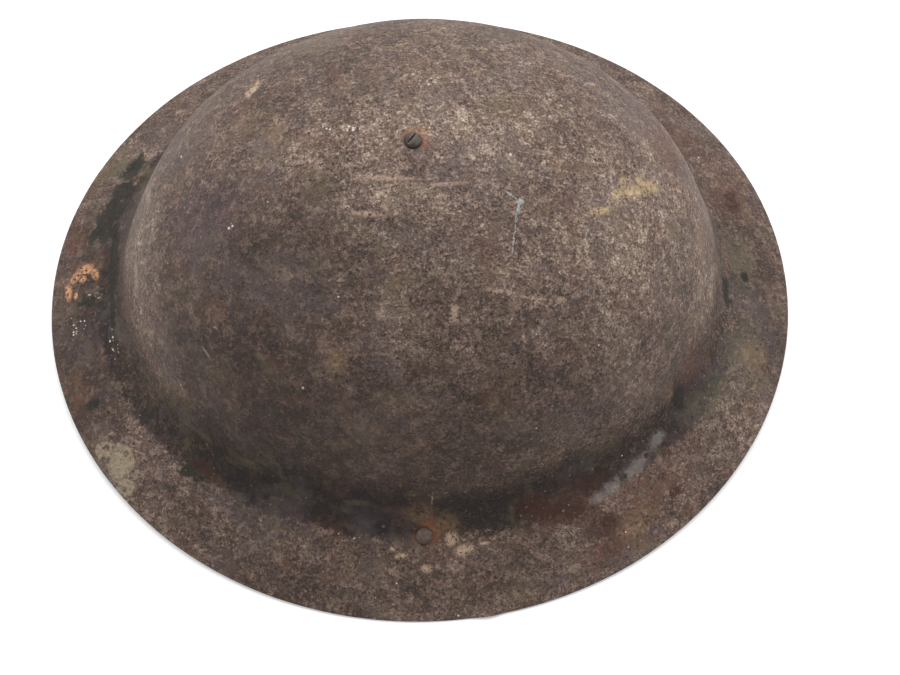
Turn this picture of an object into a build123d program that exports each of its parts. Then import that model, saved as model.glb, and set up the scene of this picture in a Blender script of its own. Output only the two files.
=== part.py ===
from build123d import *
from math import acos, atan, atan2, cos, hypot, pi, sin, sqrt
import os

# A wide-brimmed pressed steel helmet, in millimetres. +X runs from the middle to the front end,
# +Y to the wearer's left, +Z up. The helmet stands on the lowest edge of its brim, at z = 0.

# Steel shell
helmet_length = 317.5
helmet_width = 289.6
sheet = 1.0
crown_rise = 112.1            # heights marked rise are above the edge of the brim at the sides
bowl_base_rise = 24.0         # middle of the ellipse that the bowl follows
bowl_half_length = 118.6
bowl_half_width = 102.4
end_wall_spread = 10.5        # how far the fold lies outside the bowl at the ends
fold_half_width = 108.5
end_fold_rise = 15.0
side_fold_rise = 20.3
end_edge_rise = 4.6
fold_reach = 7.7              # how far the bend between bowl and brim runs up and down
cap_half_length = 1.2         # flat spot in the middle of the crown
ring_points = 36              # points round each ring of the steel
dome_ring_count = 8           # rings of a smaller dome inside the helmet
bowl_shares = [0.08, 0.2, 0.35, 0.5, 0.65, 0.8, 0.9, 1]
bend_shares = [0, 0.2, 0.4, 0.6, 0.8, 1]

# Screw, washer, plate and nut at the crown
crown_hole_x = -3.3
crown_hole_y = -0.2
screw_shank = 3.6
screw_head = 6.2
screw_head_height = 2.4
screw_head_wall = 0.7
screw_slot = 1.0
screw_slot_depth = 1.1
screw_slot_turn = 50.0
screw_tip = 0.6               # how far the screw stands out of its nut
hole_clearance = 0.2
thread_clearance = 0.05
washer_across = 22.0
washer_thickness = 2.0
washer_seat = 0.15            # between the washer and the hollow of the steel
washer_dish = 0.65            # how far its upper face drops towards its rim
plate_across = 28.0
plate_thickness = 1.0
nut_across = 6.4
nut_thickness = 2.6

# Cross straps of the liner
cross_strap_width = 22.0
cross_strap_thickness = 1.2
crossing_half = 12.0          # flat half length of each strap where they cross
leg_start_share = 0.3333      # height on the headband where the straight ends of the straps begin
leg_over_band = 1.0
leg_rivet_rise = 9.0
leg_seat = 0.05
strap_curve_share = 0.42

# Headband
band_bottom = 24.0
band_crown_space = 52.1       # between the upper edge of the headband and the crown
band_end_space = 16.6         # between the bowl and the lower edge of the headband
band_side_space = 16.4
band_narrowing = 6.0          # from its lower edge to its upper edge, on each side
band_thickness = 1.6

# Sweatband and the tongues that carry the head
sweatband_gap = 1.05          # leaves room for the inner heads of the rivets
sweatband_thickness = 1.2
sweatband_turn_up = 1.0       # how far it ends above the lower edge of the headband
tongue_thickness = 1.0
tongue_seat = 0.3
tongue_overlap = 8.0
tongue_rise = 30.0            # height of the tongues' dome above the headband
tongue_mouth_half_length = 36.0
tongue_count = 8
tongue_slit = 6.0
tongue_root = 7.0             # uncut height of the tongues above the headband

# Crown pad
pad_thickness = 9.0
pad_half_length = 55.0
pad_end_space = 13.6          # between the bowl and the oval dome that the top of the pad follows
pad_side_space = 14.4
pad_curve_depth = 80.0
pad_seat = 0.1
pad_web = 2.5                 # thickness that is left over the recess for plate and nut
pad_recess_clearance = 1.0

# Rubber buffers between headband and steel
buffer_count = 12
buffer_offset_share = 0.5     # of the pitch, which keeps the buffers clear of the cross straps
buffer_across = 18.0
buffer_wall_station = 1.25    # where on the steel's straight wall the buffers bear
buffer_gap = 0.7              # at the middle of a flat end in the hollow of the steel
buffer_seat = 0.1

# Rivets of the liner
rivet_shank = 3.0
rivet_head = 7.0
rivet_head_height = 0.8
rivet_seat = 0.2              # under a flat head on the curved headband
rivet_reach = 9.0             # how deep the hole in a buffer goes
rivet_end_gap = 0.3           # left at the bottom of that hole

# Lugs that hold the wire loops, one on each side, under the brim
lug_x = -4.6
lug_rivet_head = 6.4
lug_rivet_head_height = 2.4
lug_rivet_seat = 0.25         # under the head, where the brim begins to bend up
lug_rivet_shank = 3.6
lug_rivet_tail = 6.0
lug_rivet_tail_height = 1.2
lug_width = 15.0
lug_thickness = 1.2
lug_tail = 6.5
lug_arm = 10.5                # from the rivet to the middle of the eye
lug_gap = 0.25
lug_wall = 1.2                # of the eye round the wire
wire = 2.5
wire_clearance = 0.05
loop_width = 26.0
loop_length = 19.0
loop_corner = 3.0

# Chin strap
leather = 2.0
chin_strap_width = 20.0
floor_gap = 0.3
lap_length = 28.0
lap_taper = 12.0
long_strap_reach = 105.0      # from the loop to the fold
long_strap_return = 68.0      # from the fold back to the point
long_strap_settle = 24.0      # run in which the upper layer comes down on the lower one
fold_radius = 5.0             # middle of the leather in the fold of the long strap
return_lift = 0.3
strap_hole = 3.0
strap_hole_pitch = 9.0
strap_hole_count = 4
strap_hole_start = 12.0       # from the point of the long strap to its first hole
strap_point = 9.0
strap_point_half = 3.0
short_strap_reach = 50.0
stud_shank = 3.0
stud_head = 6.0
stud_head_height = 0.8
stud_place = 19.0             # from the bar

# Buckle
buckle_length = 20.0
buckle_width = 26.0
buckle_corner = 3.0
prong = 1.8
prong_ring_wall = 1.1
prong_width = 3.0
prong_overhang = 2.0
prong_rest_gap = 0.3
prong_notch_clearance = 0.7

# Point half way up a domed head, as a share of the head's width and of its dome's height
dome_reach_share = 0.33
dome_height_share = 0.72

overrun = 30.0                # spare length of every cutting tool
difference_step = 1e-3        # share of a station, for the direction of the steel's surface

# Values worked out from the sizes above
brim_slope = atan2(side_fold_rise, helmet_width / 2 - fold_half_width)
# The lower corner of the cut edge comes to z = 0 at both sides
edge_height = sheet * cos(brim_slope)
crown_height = edge_height + crown_rise

fold_half_length = bowl_half_length + end_wall_spread

# Sizes of the liner that follow the steel
band_top = crown_rise - band_crown_space
band_bottom_half_length = bowl_half_length - band_end_space
band_bottom_half_width = bowl_half_width - band_side_space
pad_curve_half_length = bowl_half_length - pad_end_space
pad_curve_half_width = bowl_half_width - pad_side_space
buffer_height = (band_bottom + band_top) / 2
leg_bottom = band_bottom + (band_top - band_bottom) * leg_start_share

ENDS = (bowl_half_length, fold_half_length, end_fold_rise, helmet_length / 2, end_edge_rise)
SIDES = (bowl_half_width, fold_half_width, side_fold_rise, helmet_width / 2, 0)


def between(start, end, share):
    """The point at a share of the way from start to end."""
    return (start[0] + (end[0] - start[0]) * share, start[1] + (end[1] - start[1]) * share)


def towards(start, end, distance):
    """The point at a distance from start, on the way to end."""
    return between(start, end, distance / hypot(end[0] - start[0], end[1] - start[1]))


def meridian(station, side):
    """Reach and height of the steel's outer face: stations 0 to 1 are the bowl, 1 to 2 its straight
    wall, 2 to 3 the bend, 3 to 4 the brim."""
    bowl_half, fold_half, fold_rise, edge_half, edge_rise = side
    bowl_depth = crown_rise - bowl_base_rise
    out, down = fold_half / bowl_half, (fold_rise - bowl_base_rise) / bowl_depth
    leave_angle = atan2(out, down) - acos(1 / hypot(out, down))
    leave = (bowl_half * sin(leave_angle), bowl_base_rise + bowl_depth * cos(leave_angle))
    corner = (fold_half, fold_rise)
    edge = (edge_half, edge_rise)
    wall_end = towards(corner, leave, fold_reach)
    brim_start = towards(corner, edge, fold_reach)
    if station < 1:
        angle = leave_angle * station
        reach, rise = bowl_half * sin(angle), bowl_base_rise + bowl_depth * cos(angle)
    elif station < 2:
        reach, rise = between(leave, wall_end, station - 1)
    elif station < 3:
        share = station - 2
        reach, rise = between(between(wall_end, corner, share), between(corner, brim_start, share), share)
    else:
        reach, rise = between(brim_start, edge, station - 3)
    return reach, rise + edge_height


def steel_point(station, angle, depth=0):
    """A point of the steel, at a depth under its outer face."""
    def face(at_station, at_angle):
        long_reach, end_height = meridian(at_station, ENDS)
        short_reach, side_height = meridian(at_station, SIDES)
        height = end_height * cos(at_angle) ** 2 + side_height * sin(at_angle) ** 2
        return Vector(long_reach * cos(at_angle), short_reach * sin(at_angle), height)

    along = face(station + difference_step, angle) - face(station - difference_step, angle)
    around = face(station, angle + difference_step) - face(station, angle - difference_step)
    return face(station, angle) - along.cross(around).normalized() * depth


def closed_curve(points):
    return Wire([Edge.make_spline(points, periodic=True)])


def steel_ring(station, depth):
    """A closed curve round the helmet at one station."""
    turns = [2 * pi * i / ring_points for i in range(ring_points)]
    return closed_curve([steel_point(station, turn, depth) for turn in turns])


def crown_ring(depth):
    """A small level ring round the middle of the crown."""
    half_width = cap_half_length * bowl_half_width / bowl_half_length
    turns = [2 * pi * i / ring_points for i in range(ring_points)]
    height = crown_height - depth
    return closed_curve([Vector(cap_half_length * cos(t), half_width * sin(t), height) for t in turns])


def steel_skin(depth):
    """The faces of the steel at a depth, from the crown to the edge, and the ring at the edge."""
    crown = crown_ring(depth)
    bowl = [steel_ring(share, depth) for share in bowl_shares]
    bend = [steel_ring(2 + share, depth) for share in bend_shares]
    edge = steel_ring(4, depth)
    faces = [Face(crown)]
    faces += Shell.make_loft([crown] + bowl).faces()
    faces += Shell.make_loft([bowl[-1], bend[0]], ruled=True).faces()
    faces += Shell.make_loft(bend).faces()
    faces += Shell.make_loft([bend[-1], edge], ruled=True).faces()
    return faces, edge


def pressed_steel():
    """The shell of the helmet before it is drilled."""
    outer_faces, outer_edge = steel_skin(0)
    inner_faces, inner_edge = steel_skin(sheet)
    cut_edge = Shell.make_loft([outer_edge, inner_edge], ruled=True).faces()
    return Solid(Shell(outer_faces + inner_faces + list(cut_edge)))


def band_cone(inset, low, high):
    """A solid with the slope of the headband, its sides an inset within the headband's outer face."""
    with BuildPart() as cone:
        for height in (low, high):
            shrink = inset + (height - band_bottom) * band_taper
            with BuildSketch(Plane.XY.offset(height)):
                Ellipse(band_bottom_half_length - shrink, band_bottom_half_width - shrink)
        loft()
    return cone.part


def dome_rings(middle, half_axes, low_turn, high_turn):
    """Level rings of an oval dome round a middle point, between two angles above its base."""
    half_length, half_width, depth = half_axes
    rings = []
    for i in range(dome_ring_count):
        turn = low_turn + (high_turn - low_turn) * i / (dome_ring_count - 1)
        plane = Plane(origin=middle + Vector(0, 0, depth * sin(turn)))
        oval = Edge.make_ellipse(half_length * cos(turn), half_width * cos(turn), plane)
        rings.append(Wire([oval]))
    return rings


def dome_layer(middle, half_axes, thickness, low_turn, high_turn, closed_top=False):
    """A layer of one thickness under an oval dome, open or closed at the top."""
    inner_axes = [half - thickness for half in half_axes]
    outer = dome_rings(middle, half_axes, low_turn, high_turn)
    inner = dome_rings(middle, inner_axes, low_turn, high_turn)
    faces = Shell.make_loft(outer).faces() + Shell.make_loft(inner).faces()
    faces += Shell.make_loft([outer[0], inner[0]], ruled=True).faces()
    if closed_top:
        faces += [Face(outer[-1]), Face(inner[-1])]
    else:
        faces += Shell.make_loft([outer[-1], inner[-1]], ruled=True).faces()
    return Solid(Shell(faces))


def revolved(plane, outline):
    """A solid of revolution about the normal of a plane, from points of reach and height above it."""
    section = Plane(origin=plane.origin, x_dir=plane.x_dir, z_dir=-plane.y_dir)
    with BuildPart() as turned:
        with BuildSketch(section):
            with BuildLine():
                outline()
            make_face()
        revolve(axis=Axis(plane.origin, plane.z_dir))
    return turned.part


def flat_rivet(plane, grip):
    """A rivet of the liner: its outer head stands on the plane and its inner head lies under the grip."""
    with BuildPart(plane) as rivet:
        Cylinder(rivet_head / 2, rivet_head_height, align=(Align.CENTER, Align.CENTER, Align.MIN))
        Cylinder(rivet_shank / 2, grip, align=(Align.CENTER, Align.CENTER, Align.MAX))
        with Locations((0, 0, -grip)):
            Cylinder(rivet_head / 2, rivet_head_height, align=(Align.CENTER, Align.CENTER, Align.MAX))
    return rivet.part


def wire_frame(plane, width, length, corner):
    """A closed frame of round wire; the middle of its first bar is at the origin of the plane."""
    corners = [(-width / 2, 0), (width / 2, 0), (width / 2, length), (-width / 2, length)]
    with BuildPart() as frame:
        with BuildLine(plane) as path:
            FilletPolyline(*corners, radius=corner, close=True)
        with BuildSketch(Plane(origin=path.line @ 0, z_dir=path.line % 0)):
            Circle(wire / 2)
        sweep(path=path.line)
    return frame.part


def rod(start, end, radius):
    """A round rod from one point to another."""
    with BuildPart(Plane(origin=start, z_dir=end - start)) as bar:
        Cylinder(radius, (end - start).length, align=(Align.CENTER, Align.CENTER, Align.MIN))
    return bar.part


# Places on the crown screw, from the steel downwards
washer_bottom = crown_height - sheet - washer_seat - washer_thickness
long_strap_middle = washer_bottom - cross_strap_thickness / 2
short_strap_middle = long_strap_middle - cross_strap_thickness
pad_top = short_strap_middle - cross_strap_thickness / 2 - pad_seat
plate_top = pad_top - pad_web
nut_top = plate_top - plate_thickness
screw_end = nut_top - nut_thickness - screw_tip
crown_axis = Plane((crown_hole_x, crown_hole_y, crown_height))

# Dome of the screw's head, above its upright wall
screw_dome = screw_head_height - screw_head_wall

# Slope of the headband, and places on it
band_taper = band_narrowing / (band_top - band_bottom)
band_tilt = atan(band_taper)
leg_top = band_top + leg_over_band
rivet_height = leg_bottom + leg_rivet_rise
leg_half = cross_strap_thickness / 2 / cos(band_tilt)

# Lug, loop and strap on the wearer's right; those on the left are their mirror images
lug_turn = -acos(lug_x / meridian(3, ENDS)[0])
lug_point = steel_point(3, lug_turn)
lug_plane = Plane(origin=lug_point, x_dir=(1, 0, 0), z_dir=(0, -sin(brim_slope), cos(brim_slope)))
lug_section = Plane(origin=lug_point, x_dir=lug_plane.y_dir, z_dir=(1, 0, 0))
lug_top = sheet + lug_gap
wire_bore = wire / 2 + wire_clearance
eye_radius = wire_bore + lug_wall
hinge_point = lug_plane.from_local_coords(Vector(0, lug_arm, -lug_top - eye_radius))
bar_height = floor_gap + leather + wire_bore
loop_drop = hinge_point.Z - bar_height
loop_run = sqrt(loop_length ** 2 - loop_drop ** 2)
loop_plane = Plane(origin=hinge_point, x_dir=(1, 0, 0), z_dir=(0, loop_drop, loop_run))
bar_reach = hinge_point.Y + loop_run
right_section = Plane(origin=(lug_x, 0, 0), x_dir=(0, 1, 0), z_dir=(1, 0, 0))
left_section = Plane(origin=(lug_x, 0, 0), x_dir=(0, -1, 0), z_dir=(-1, 0, 0))
ring_radius = wire_bore + leather
leather_top = floor_gap + leather
doubled_top = leather_top + leather

# Buckle on the left strap; its far bar lies just above the floor
buckle_reach = -bar_reach - short_strap_reach
short_stud_reaches = (-bar_reach - stud_place, buckle_reach + stud_place)
buckle_drop = bar_height - floor_gap - wire / 2
buckle_run = sqrt(buckle_length ** 2 - buckle_drop ** 2)
buckle_origin = Vector(lug_x, buckle_reach, bar_height)
buckle_plane = Plane(origin=buckle_origin, x_dir=(1, 0, 0), z_dir=(0, buckle_drop, -buckle_run))
prong_end_height = floor_gap + wire + prong_rest_gap + prong / 2

os.makedirs("parts", exist_ok=True)

# Steel shell, drilled for the crown screw and the two lug rivets
with BuildPart() as shell:
    add(pressed_steel())
    with Locations(crown_axis):
        Cylinder(screw_shank / 2 + hole_clearance, overrun, mode=Mode.SUBTRACT)
    with Locations(lug_plane):
        Cylinder(lug_rivet_shank / 2 + hole_clearance, overrun, mode=Mode.SUBTRACT)
    with Locations(lug_plane.location.mirror(Plane.XZ)):
        Cylinder(lug_rivet_shank / 2 + hole_clearance, overrun, mode=Mode.SUBTRACT)

# Slotted crown screw, with the washer, plate and nut that it clamps
def screw_outline():
    Line((0, screw_end - crown_height), (0, screw_head_height))
    ThreePointArc(
        (0, screw_head_height),
        (screw_head * dome_reach_share, screw_head_wall + screw_dome * dome_height_share),
        (screw_head / 2, screw_head_wall),
    )
    Polyline(
        (screw_head / 2, screw_head_wall),
        (screw_head / 2, 0),
        (screw_shank / 2, 0),
        (screw_shank / 2, screw_end - crown_height),
        (0, screw_end - crown_height),
    )


with BuildPart() as crown_screw:
    add(revolved(crown_axis, screw_outline))
    with Locations(crown_axis.offset(screw_head_height).rotated((0, 0, screw_slot_turn))):
        Box(overrun, screw_slot, 2 * screw_slot_depth, mode=Mode.SUBTRACT)


def washer_outline():
    Polyline(
        (screw_shank / 2 + hole_clearance, 0),
        (washer_across / 2, 0),
        (washer_across / 2, washer_thickness - washer_dish),
        (screw_shank / 2 + hole_clearance, washer_thickness),
        close=True,
    )


with BuildPart() as crown_washer:
    add(revolved(Plane((crown_hole_x, crown_hole_y, washer_bottom)), washer_outline))

with BuildPart(Plane((crown_hole_x, crown_hole_y, plate_top))) as crown_plate:
    Cylinder(plate_across / 2, plate_thickness, align=(Align.CENTER, Align.CENTER, Align.MAX))
    Cylinder(screw_shank / 2 + hole_clearance, overrun, mode=Mode.SUBTRACT)

with BuildPart(Plane((crown_hole_x, crown_hole_y, nut_top))) as crown_nut:
    Box(nut_across, nut_across, nut_thickness, align=(Align.CENTER, Align.CENTER, Align.MAX))
    Cylinder(screw_shank / 2 + thread_clearance, overrun, mode=Mode.SUBTRACT)


def leg_reach(band_half, height):
    """How far out the middle of a strap's leg lies at a height, for one half axis of the headband."""
    return band_half - (height - band_bottom) * band_taper + leg_seat + leg_half


def cross_strap_line(middle, height, band_half):
    """The middle line of a cross strap, from one leg up over the crossing and down the other leg."""
    for side in (1, -1):
        flat_end = (middle + side * crossing_half, height)
        corner = (side * leg_reach(band_half, height), height)
        leg_start = (side * leg_reach(band_half, leg_top), leg_top)
        leg_end = (side * leg_reach(band_half, leg_bottom), leg_bottom)
        Bezier(
            flat_end,
            between(flat_end, corner, strap_curve_share),
            between(leg_start, corner, strap_curve_share),
            leg_start,
        )
        Line(leg_start, leg_end)
    Line((middle - crossing_half, height), (middle + crossing_half, height))


def cross_strap(plane, middle, height, band_half):
    """A cross strap, drawn in its own upright plane."""
    with BuildPart() as strap:
        with BuildSketch(plane):
            with BuildLine():
                cross_strap_line(middle, height, band_half)
            trace(line_width=cross_strap_thickness)
        extrude(amount=cross_strap_width / 2, both=True)
    return strap.part


long_strap_plane = Plane(origin=(0, crown_hole_y, 0), x_dir=(1, 0, 0), z_dir=(0, -1, 0))
short_strap_plane = Plane(origin=(crown_hole_x, 0, 0), x_dir=(0, 1, 0), z_dir=(1, 0, 0))


def leg_rivet_plane(out, middle, band_half):
    """The outer face of a strap's leg at its rivet; out points from the middle of the helmet."""
    reach = leg_reach(band_half, rivet_height) + leg_half
    normal = out * cos(band_tilt) + Vector(0, 0, sin(band_tilt))
    return Plane(origin=middle + out * reach + Vector(0, 0, rivet_height), z_dir=normal)


end_middle = Vector(0, crown_hole_y, 0)
side_middle = Vector(crown_hole_x, 0, 0)
end_rivet_planes = [leg_rivet_plane(Vector(s, 0, 0), end_middle, band_bottom_half_length) for s in (1, -1)]
side_rivet_planes = [leg_rivet_plane(Vector(0, s, 0), side_middle, band_bottom_half_width) for s in (1, -1)]
leg_rivet_planes = end_rivet_planes + side_rivet_planes
leg_grip = cross_strap_thickness + leg_seat + band_thickness + rivet_seat

# Longer cross strap, front to back, and the shorter one under it
with BuildPart() as cross_strap_long:
    add(cross_strap(long_strap_plane, crown_hole_x, long_strap_middle, band_bottom_half_length))
    with Locations(crown_axis):
        Cylinder(screw_shank / 2 + hole_clearance, overrun, mode=Mode.SUBTRACT)
    with Locations(*end_rivet_planes):
        Cylinder(rivet_shank / 2, overrun, mode=Mode.SUBTRACT)

with BuildPart() as cross_strap_short:
    add(cross_strap(short_strap_plane, crown_hole_y, short_strap_middle, band_bottom_half_width))
    with Locations(crown_axis):
        Cylinder(screw_shank / 2 + hole_clearance, overrun, mode=Mode.SUBTRACT)
    with Locations(*side_rivet_planes):
        Cylinder(rivet_shank / 2, overrun, mode=Mode.SUBTRACT)

# Dished crown pad, recessed from below for the plate and the nut
pad_middle = Vector(crown_hole_x, crown_hole_y, pad_top - pad_curve_depth)
pad_axes = (pad_curve_half_length, pad_curve_half_width, pad_curve_depth)
pad_low_turn = acos(pad_half_length / pad_curve_half_length)
pad_high_turn = acos(screw_shank / pad_curve_half_length)
with BuildPart() as crown_pad:
    add(dome_layer(pad_middle, pad_axes, pad_thickness, pad_low_turn, pad_high_turn, closed_top=True))
    with Locations((crown_hole_x, crown_hole_y, plate_top)):
        Cylinder(
            plate_across / 2 + pad_recess_clearance,
            overrun,
            align=(Align.CENTER, Align.CENTER, Align.MAX),
            mode=Mode.SUBTRACT,
        )
    with Locations(crown_axis):
        Cylinder(screw_shank / 2 + hole_clearance, overrun, mode=Mode.SUBTRACT)


def buffer_plane(turn):
    """Where a buffer stands on the headband, square to its outer face."""
    shrink = (buffer_height - band_bottom) * band_taper
    half_length, half_width = band_bottom_half_length - shrink, band_bottom_half_width - shrink
    out = Vector(cos(turn) / half_length, sin(turn) / half_width, 0).normalized()
    normal = out * cos(band_tilt) + Vector(0, 0, sin(band_tilt))
    return Plane(origin=(half_length * cos(turn), half_width * sin(turn), buffer_height), z_dir=normal)


def rubber_buffer(turn):
    """A rubber buffer from the headband to the hollow of the steel, with a blind hole for its rivet."""
    bearing = steel_point(buffer_wall_station, turn, sheet + buffer_gap)
    steel_face = steel_point(buffer_wall_station, turn)
    seat = buffer_plane(turn)
    with BuildPart() as rubber:
        with Locations(seat.offset(-band_thickness)):
            Cylinder(buffer_across / 2, overrun, align=(Align.CENTER, Align.CENTER, Align.MIN))
        split(bisect_by=Plane(origin=bearing, z_dir=steel_face - bearing), keep=Keep.BOTTOM)
        add(band_cone(-buffer_seat, band_bottom - overrun, band_top + overrun), mode=Mode.SUBTRACT)
        with Locations(seat):
            Cylinder(rivet_shank / 2, 2 * rivet_reach, mode=Mode.SUBTRACT)
    return rubber.part


buffer_turns = [2 * pi * (i + buffer_offset_share) / buffer_count for i in range(buffer_count)]
buffer_planes = [buffer_plane(turn) for turn in buffer_turns]
buffer_inner_planes = [plane.offset(-band_thickness - rivet_seat) for plane in buffer_planes]

# Metal headband, drilled for all the rivets of the liner
with BuildPart() as headband:
    add(band_cone(0, band_bottom, band_top))
    add(band_cone(band_thickness, band_bottom - overrun, band_top + overrun), mode=Mode.SUBTRACT)
    with Locations(*leg_rivet_planes, *buffer_planes):
        Cylinder(rivet_shank / 2, 2 * rivet_reach, mode=Mode.SUBTRACT)

with BuildPart() as strap_rivets:
    for plane in leg_rivet_planes:
        add(flat_rivet(plane, leg_grip))

with BuildPart() as buffers:
    for turn in buffer_turns:
        add(rubber_buffer(turn))

with BuildPart() as buffer_rivets:
    with Locations(*buffer_inner_planes):
        Cylinder(rivet_head / 2, rivet_head_height, align=(Align.CENTER, Align.CENTER, Align.MAX))
        Cylinder(
            rivet_shank / 2,
            band_thickness + rivet_seat + rivet_reach - rivet_end_gap,
            align=(Align.CENTER, Align.CENTER, Align.MIN),
        )

# Sweatband against the inner heads of the rivets
sweatband_inset = band_thickness + sweatband_gap
with BuildPart() as sweatband:
    add(band_cone(sweatband_inset, band_bottom + sweatband_turn_up, band_top))
    add(
        band_cone(sweatband_inset + sweatband_thickness, band_bottom - overrun, band_top + overrun),
        mode=Mode.SUBTRACT,
    )

# Tongues that carry the head, cut from one dome that starts inside the sweatband
tongue_bottom = band_top - tongue_overlap
tongue_shrink = (tongue_bottom - band_bottom) * band_taper
tongue_inset = sweatband_inset + sweatband_thickness + tongue_seat + tongue_shrink
tongue_half_length = band_bottom_half_length - tongue_inset
tongue_half_width = band_bottom_half_width - tongue_inset
tongue_axes = (tongue_half_length, tongue_half_width, tongue_overlap + tongue_rise)
tongue_mouth_turn = acos(tongue_mouth_half_length / tongue_half_length)
with BuildPart() as lining_tongues:
    add(dome_layer(Vector(0, 0, tongue_bottom), tongue_axes, tongue_thickness, 0, tongue_mouth_turn))
    with BuildSketch(Plane.XY.offset(band_top + tongue_root)):
        with PolarLocations(tongue_half_length / 2, tongue_count, start_angle=180 / tongue_count):
            Rectangle(tongue_half_length, tongue_slit)
    extrude(amount=tongue_rise, mode=Mode.SUBTRACT)

# Lug under the brim, its end curled round the wire of the loop
with BuildPart() as right_lug:
    with BuildSketch(lug_section):
        with Locations((-lug_tail, -lug_top)):
            Rectangle(lug_tail + lug_arm, lug_thickness, align=(Align.MIN, Align.MAX))
        with Locations((lug_arm, -lug_top - eye_radius)):
            Circle(eye_radius)
            Circle(wire_bore, mode=Mode.SUBTRACT)
    extrude(amount=lug_width / 2, both=True)
    with Locations(lug_plane):
        Cylinder(lug_rivet_shank / 2 + hole_clearance, 2 * lug_top + 2 * lug_thickness, mode=Mode.SUBTRACT)


def lug_rivet_outline():
    grip = -lug_top - lug_thickness
    dome_middle = lug_rivet_seat + lug_rivet_head_height * dome_height_share
    Line((0, grip - lug_rivet_tail_height), (0, lug_rivet_seat + lug_rivet_head_height))
    ThreePointArc(
        (0, lug_rivet_seat + lug_rivet_head_height),
        (lug_rivet_head * dome_reach_share, dome_middle),
        (lug_rivet_head / 2, lug_rivet_seat),
    )
    Polyline(
        (lug_rivet_head / 2, lug_rivet_seat),
        (lug_rivet_shank / 2, lug_rivet_seat),
        (lug_rivet_shank / 2, grip),
        (lug_rivet_tail / 2, grip),
        (lug_rivet_tail / 2, grip - lug_rivet_tail_height),
        (0, grip - lug_rivet_tail_height),
    )


with BuildPart() as right_lug_rivet:
    add(revolved(lug_plane, lug_rivet_outline))

with BuildPart() as right_loop:
    add(wire_frame(loop_plane, loop_width, loop_length, loop_corner))

with BuildPart() as left_lug:
    mirror(right_lug.part, about=Plane.XZ)

with BuildPart() as left_lug_rivet:
    mirror(right_lug_rivet.part, about=Plane.XZ)

with BuildPart() as left_loop:
    mirror(right_loop.part, about=Plane.XZ)

# Long half of the chin strap: doubled round the right loop, folded back near the middle, then pointed
fold_reach_y = bar_reach + long_strap_reach
tip_reach = fold_reach_y - long_strap_return
settle_start = fold_reach_y - long_strap_settle
lower_middle = floor_gap + leather / 2
upper_middle = leather_top + return_lift + leather / 2
with BuildPart() as long_strap:
    with BuildSketch(right_section):
        with BuildLine():
            Line((bar_reach, lower_middle), (fold_reach_y, lower_middle))
            ThreePointArc(
                (fold_reach_y, lower_middle),
                (fold_reach_y + fold_radius, lower_middle + fold_radius),
                (fold_reach_y, lower_middle + 2 * fold_radius),
            )
            Spline(
                (fold_reach_y, lower_middle + 2 * fold_radius),
                (settle_start, upper_middle),
                tangents=((-1, 0), (-1, 0)),
            )
            Line((settle_start, upper_middle), (tip_reach, upper_middle))
        trace(line_width=leather)
        with BuildLine():
            Polyline(
                (bar_reach, floor_gap),
                (bar_reach, bar_height + ring_radius),
                (bar_reach + lap_taper, doubled_top),
                (bar_reach + lap_length, doubled_top),
                (bar_reach + lap_length, floor_gap),
                close=True,
            )
        make_face()
        with Locations((bar_reach, bar_height)):
            Circle(ring_radius)
            Circle(wire_bore, mode=Mode.SUBTRACT)
    extrude(amount=chin_strap_width / 2, both=True)
    with BuildSketch(Plane((lug_x, tip_reach, leather_top + return_lift / 2))):
        for side in (1, -1):
            with BuildLine():
                Polyline(
                    (side * strap_point_half, 0),
                    (side * chin_strap_width / 2, strap_point),
                    (side * chin_strap_width, strap_point),
                    (side * chin_strap_width, -strap_point),
                    (side * strap_point_half, -strap_point),
                    close=True,
                )
            make_face()
        with Locations(*[(0, strap_hole_start + strap_hole_pitch * i) for i in range(strap_hole_count)]):
            Circle(strap_hole / 2)
    extrude(amount=leather + return_lift, mode=Mode.SUBTRACT)
    with Locations((lug_x, bar_reach + stud_place, floor_gap)):
        Cylinder(stud_shank / 2, 2 * doubled_top, mode=Mode.SUBTRACT)
        Cylinder(
            stud_head / 2,
            stud_head_height,
            align=(Align.CENTER, Align.CENTER, Align.MIN),
            mode=Mode.SUBTRACT,
        )

# Short half: doubled between the left loop and the buckle, notched for the prong
with BuildPart() as short_strap:
    with BuildSketch(left_section):
        with BuildLine():
            Polyline(
                (bar_reach, floor_gap),
                (bar_reach, bar_height + ring_radius),
                (bar_reach + lap_taper, doubled_top),
                (bar_reach + short_strap_reach - lap_taper, doubled_top),
                (bar_reach + short_strap_reach, bar_height + ring_radius),
                (bar_reach + short_strap_reach, floor_gap),
                close=True,
            )
        make_face()
        with Locations((bar_reach, bar_height), (bar_reach + short_strap_reach, bar_height)):
            Circle(ring_radius)
            Circle(wire_bore, mode=Mode.SUBTRACT)
    extrude(amount=chin_strap_width / 2, both=True)
    with Locations((lug_x, buckle_reach, bar_height)):
        Box(
            prong_width + 2 * prong_notch_clearance,
            2 * (ring_radius + prong_notch_clearance),
            2 * (ring_radius + prong_notch_clearance),
            mode=Mode.SUBTRACT,
        )
    for reach in short_stud_reaches:
        with Locations((lug_x, reach, floor_gap)):
            Cylinder(stud_shank / 2, 2 * doubled_top, mode=Mode.SUBTRACT)
            Cylinder(
                stud_head / 2,
                stud_head_height,
                align=(Align.CENTER, Align.CENTER, Align.MIN),
                mode=Mode.SUBTRACT,
            )


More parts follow.
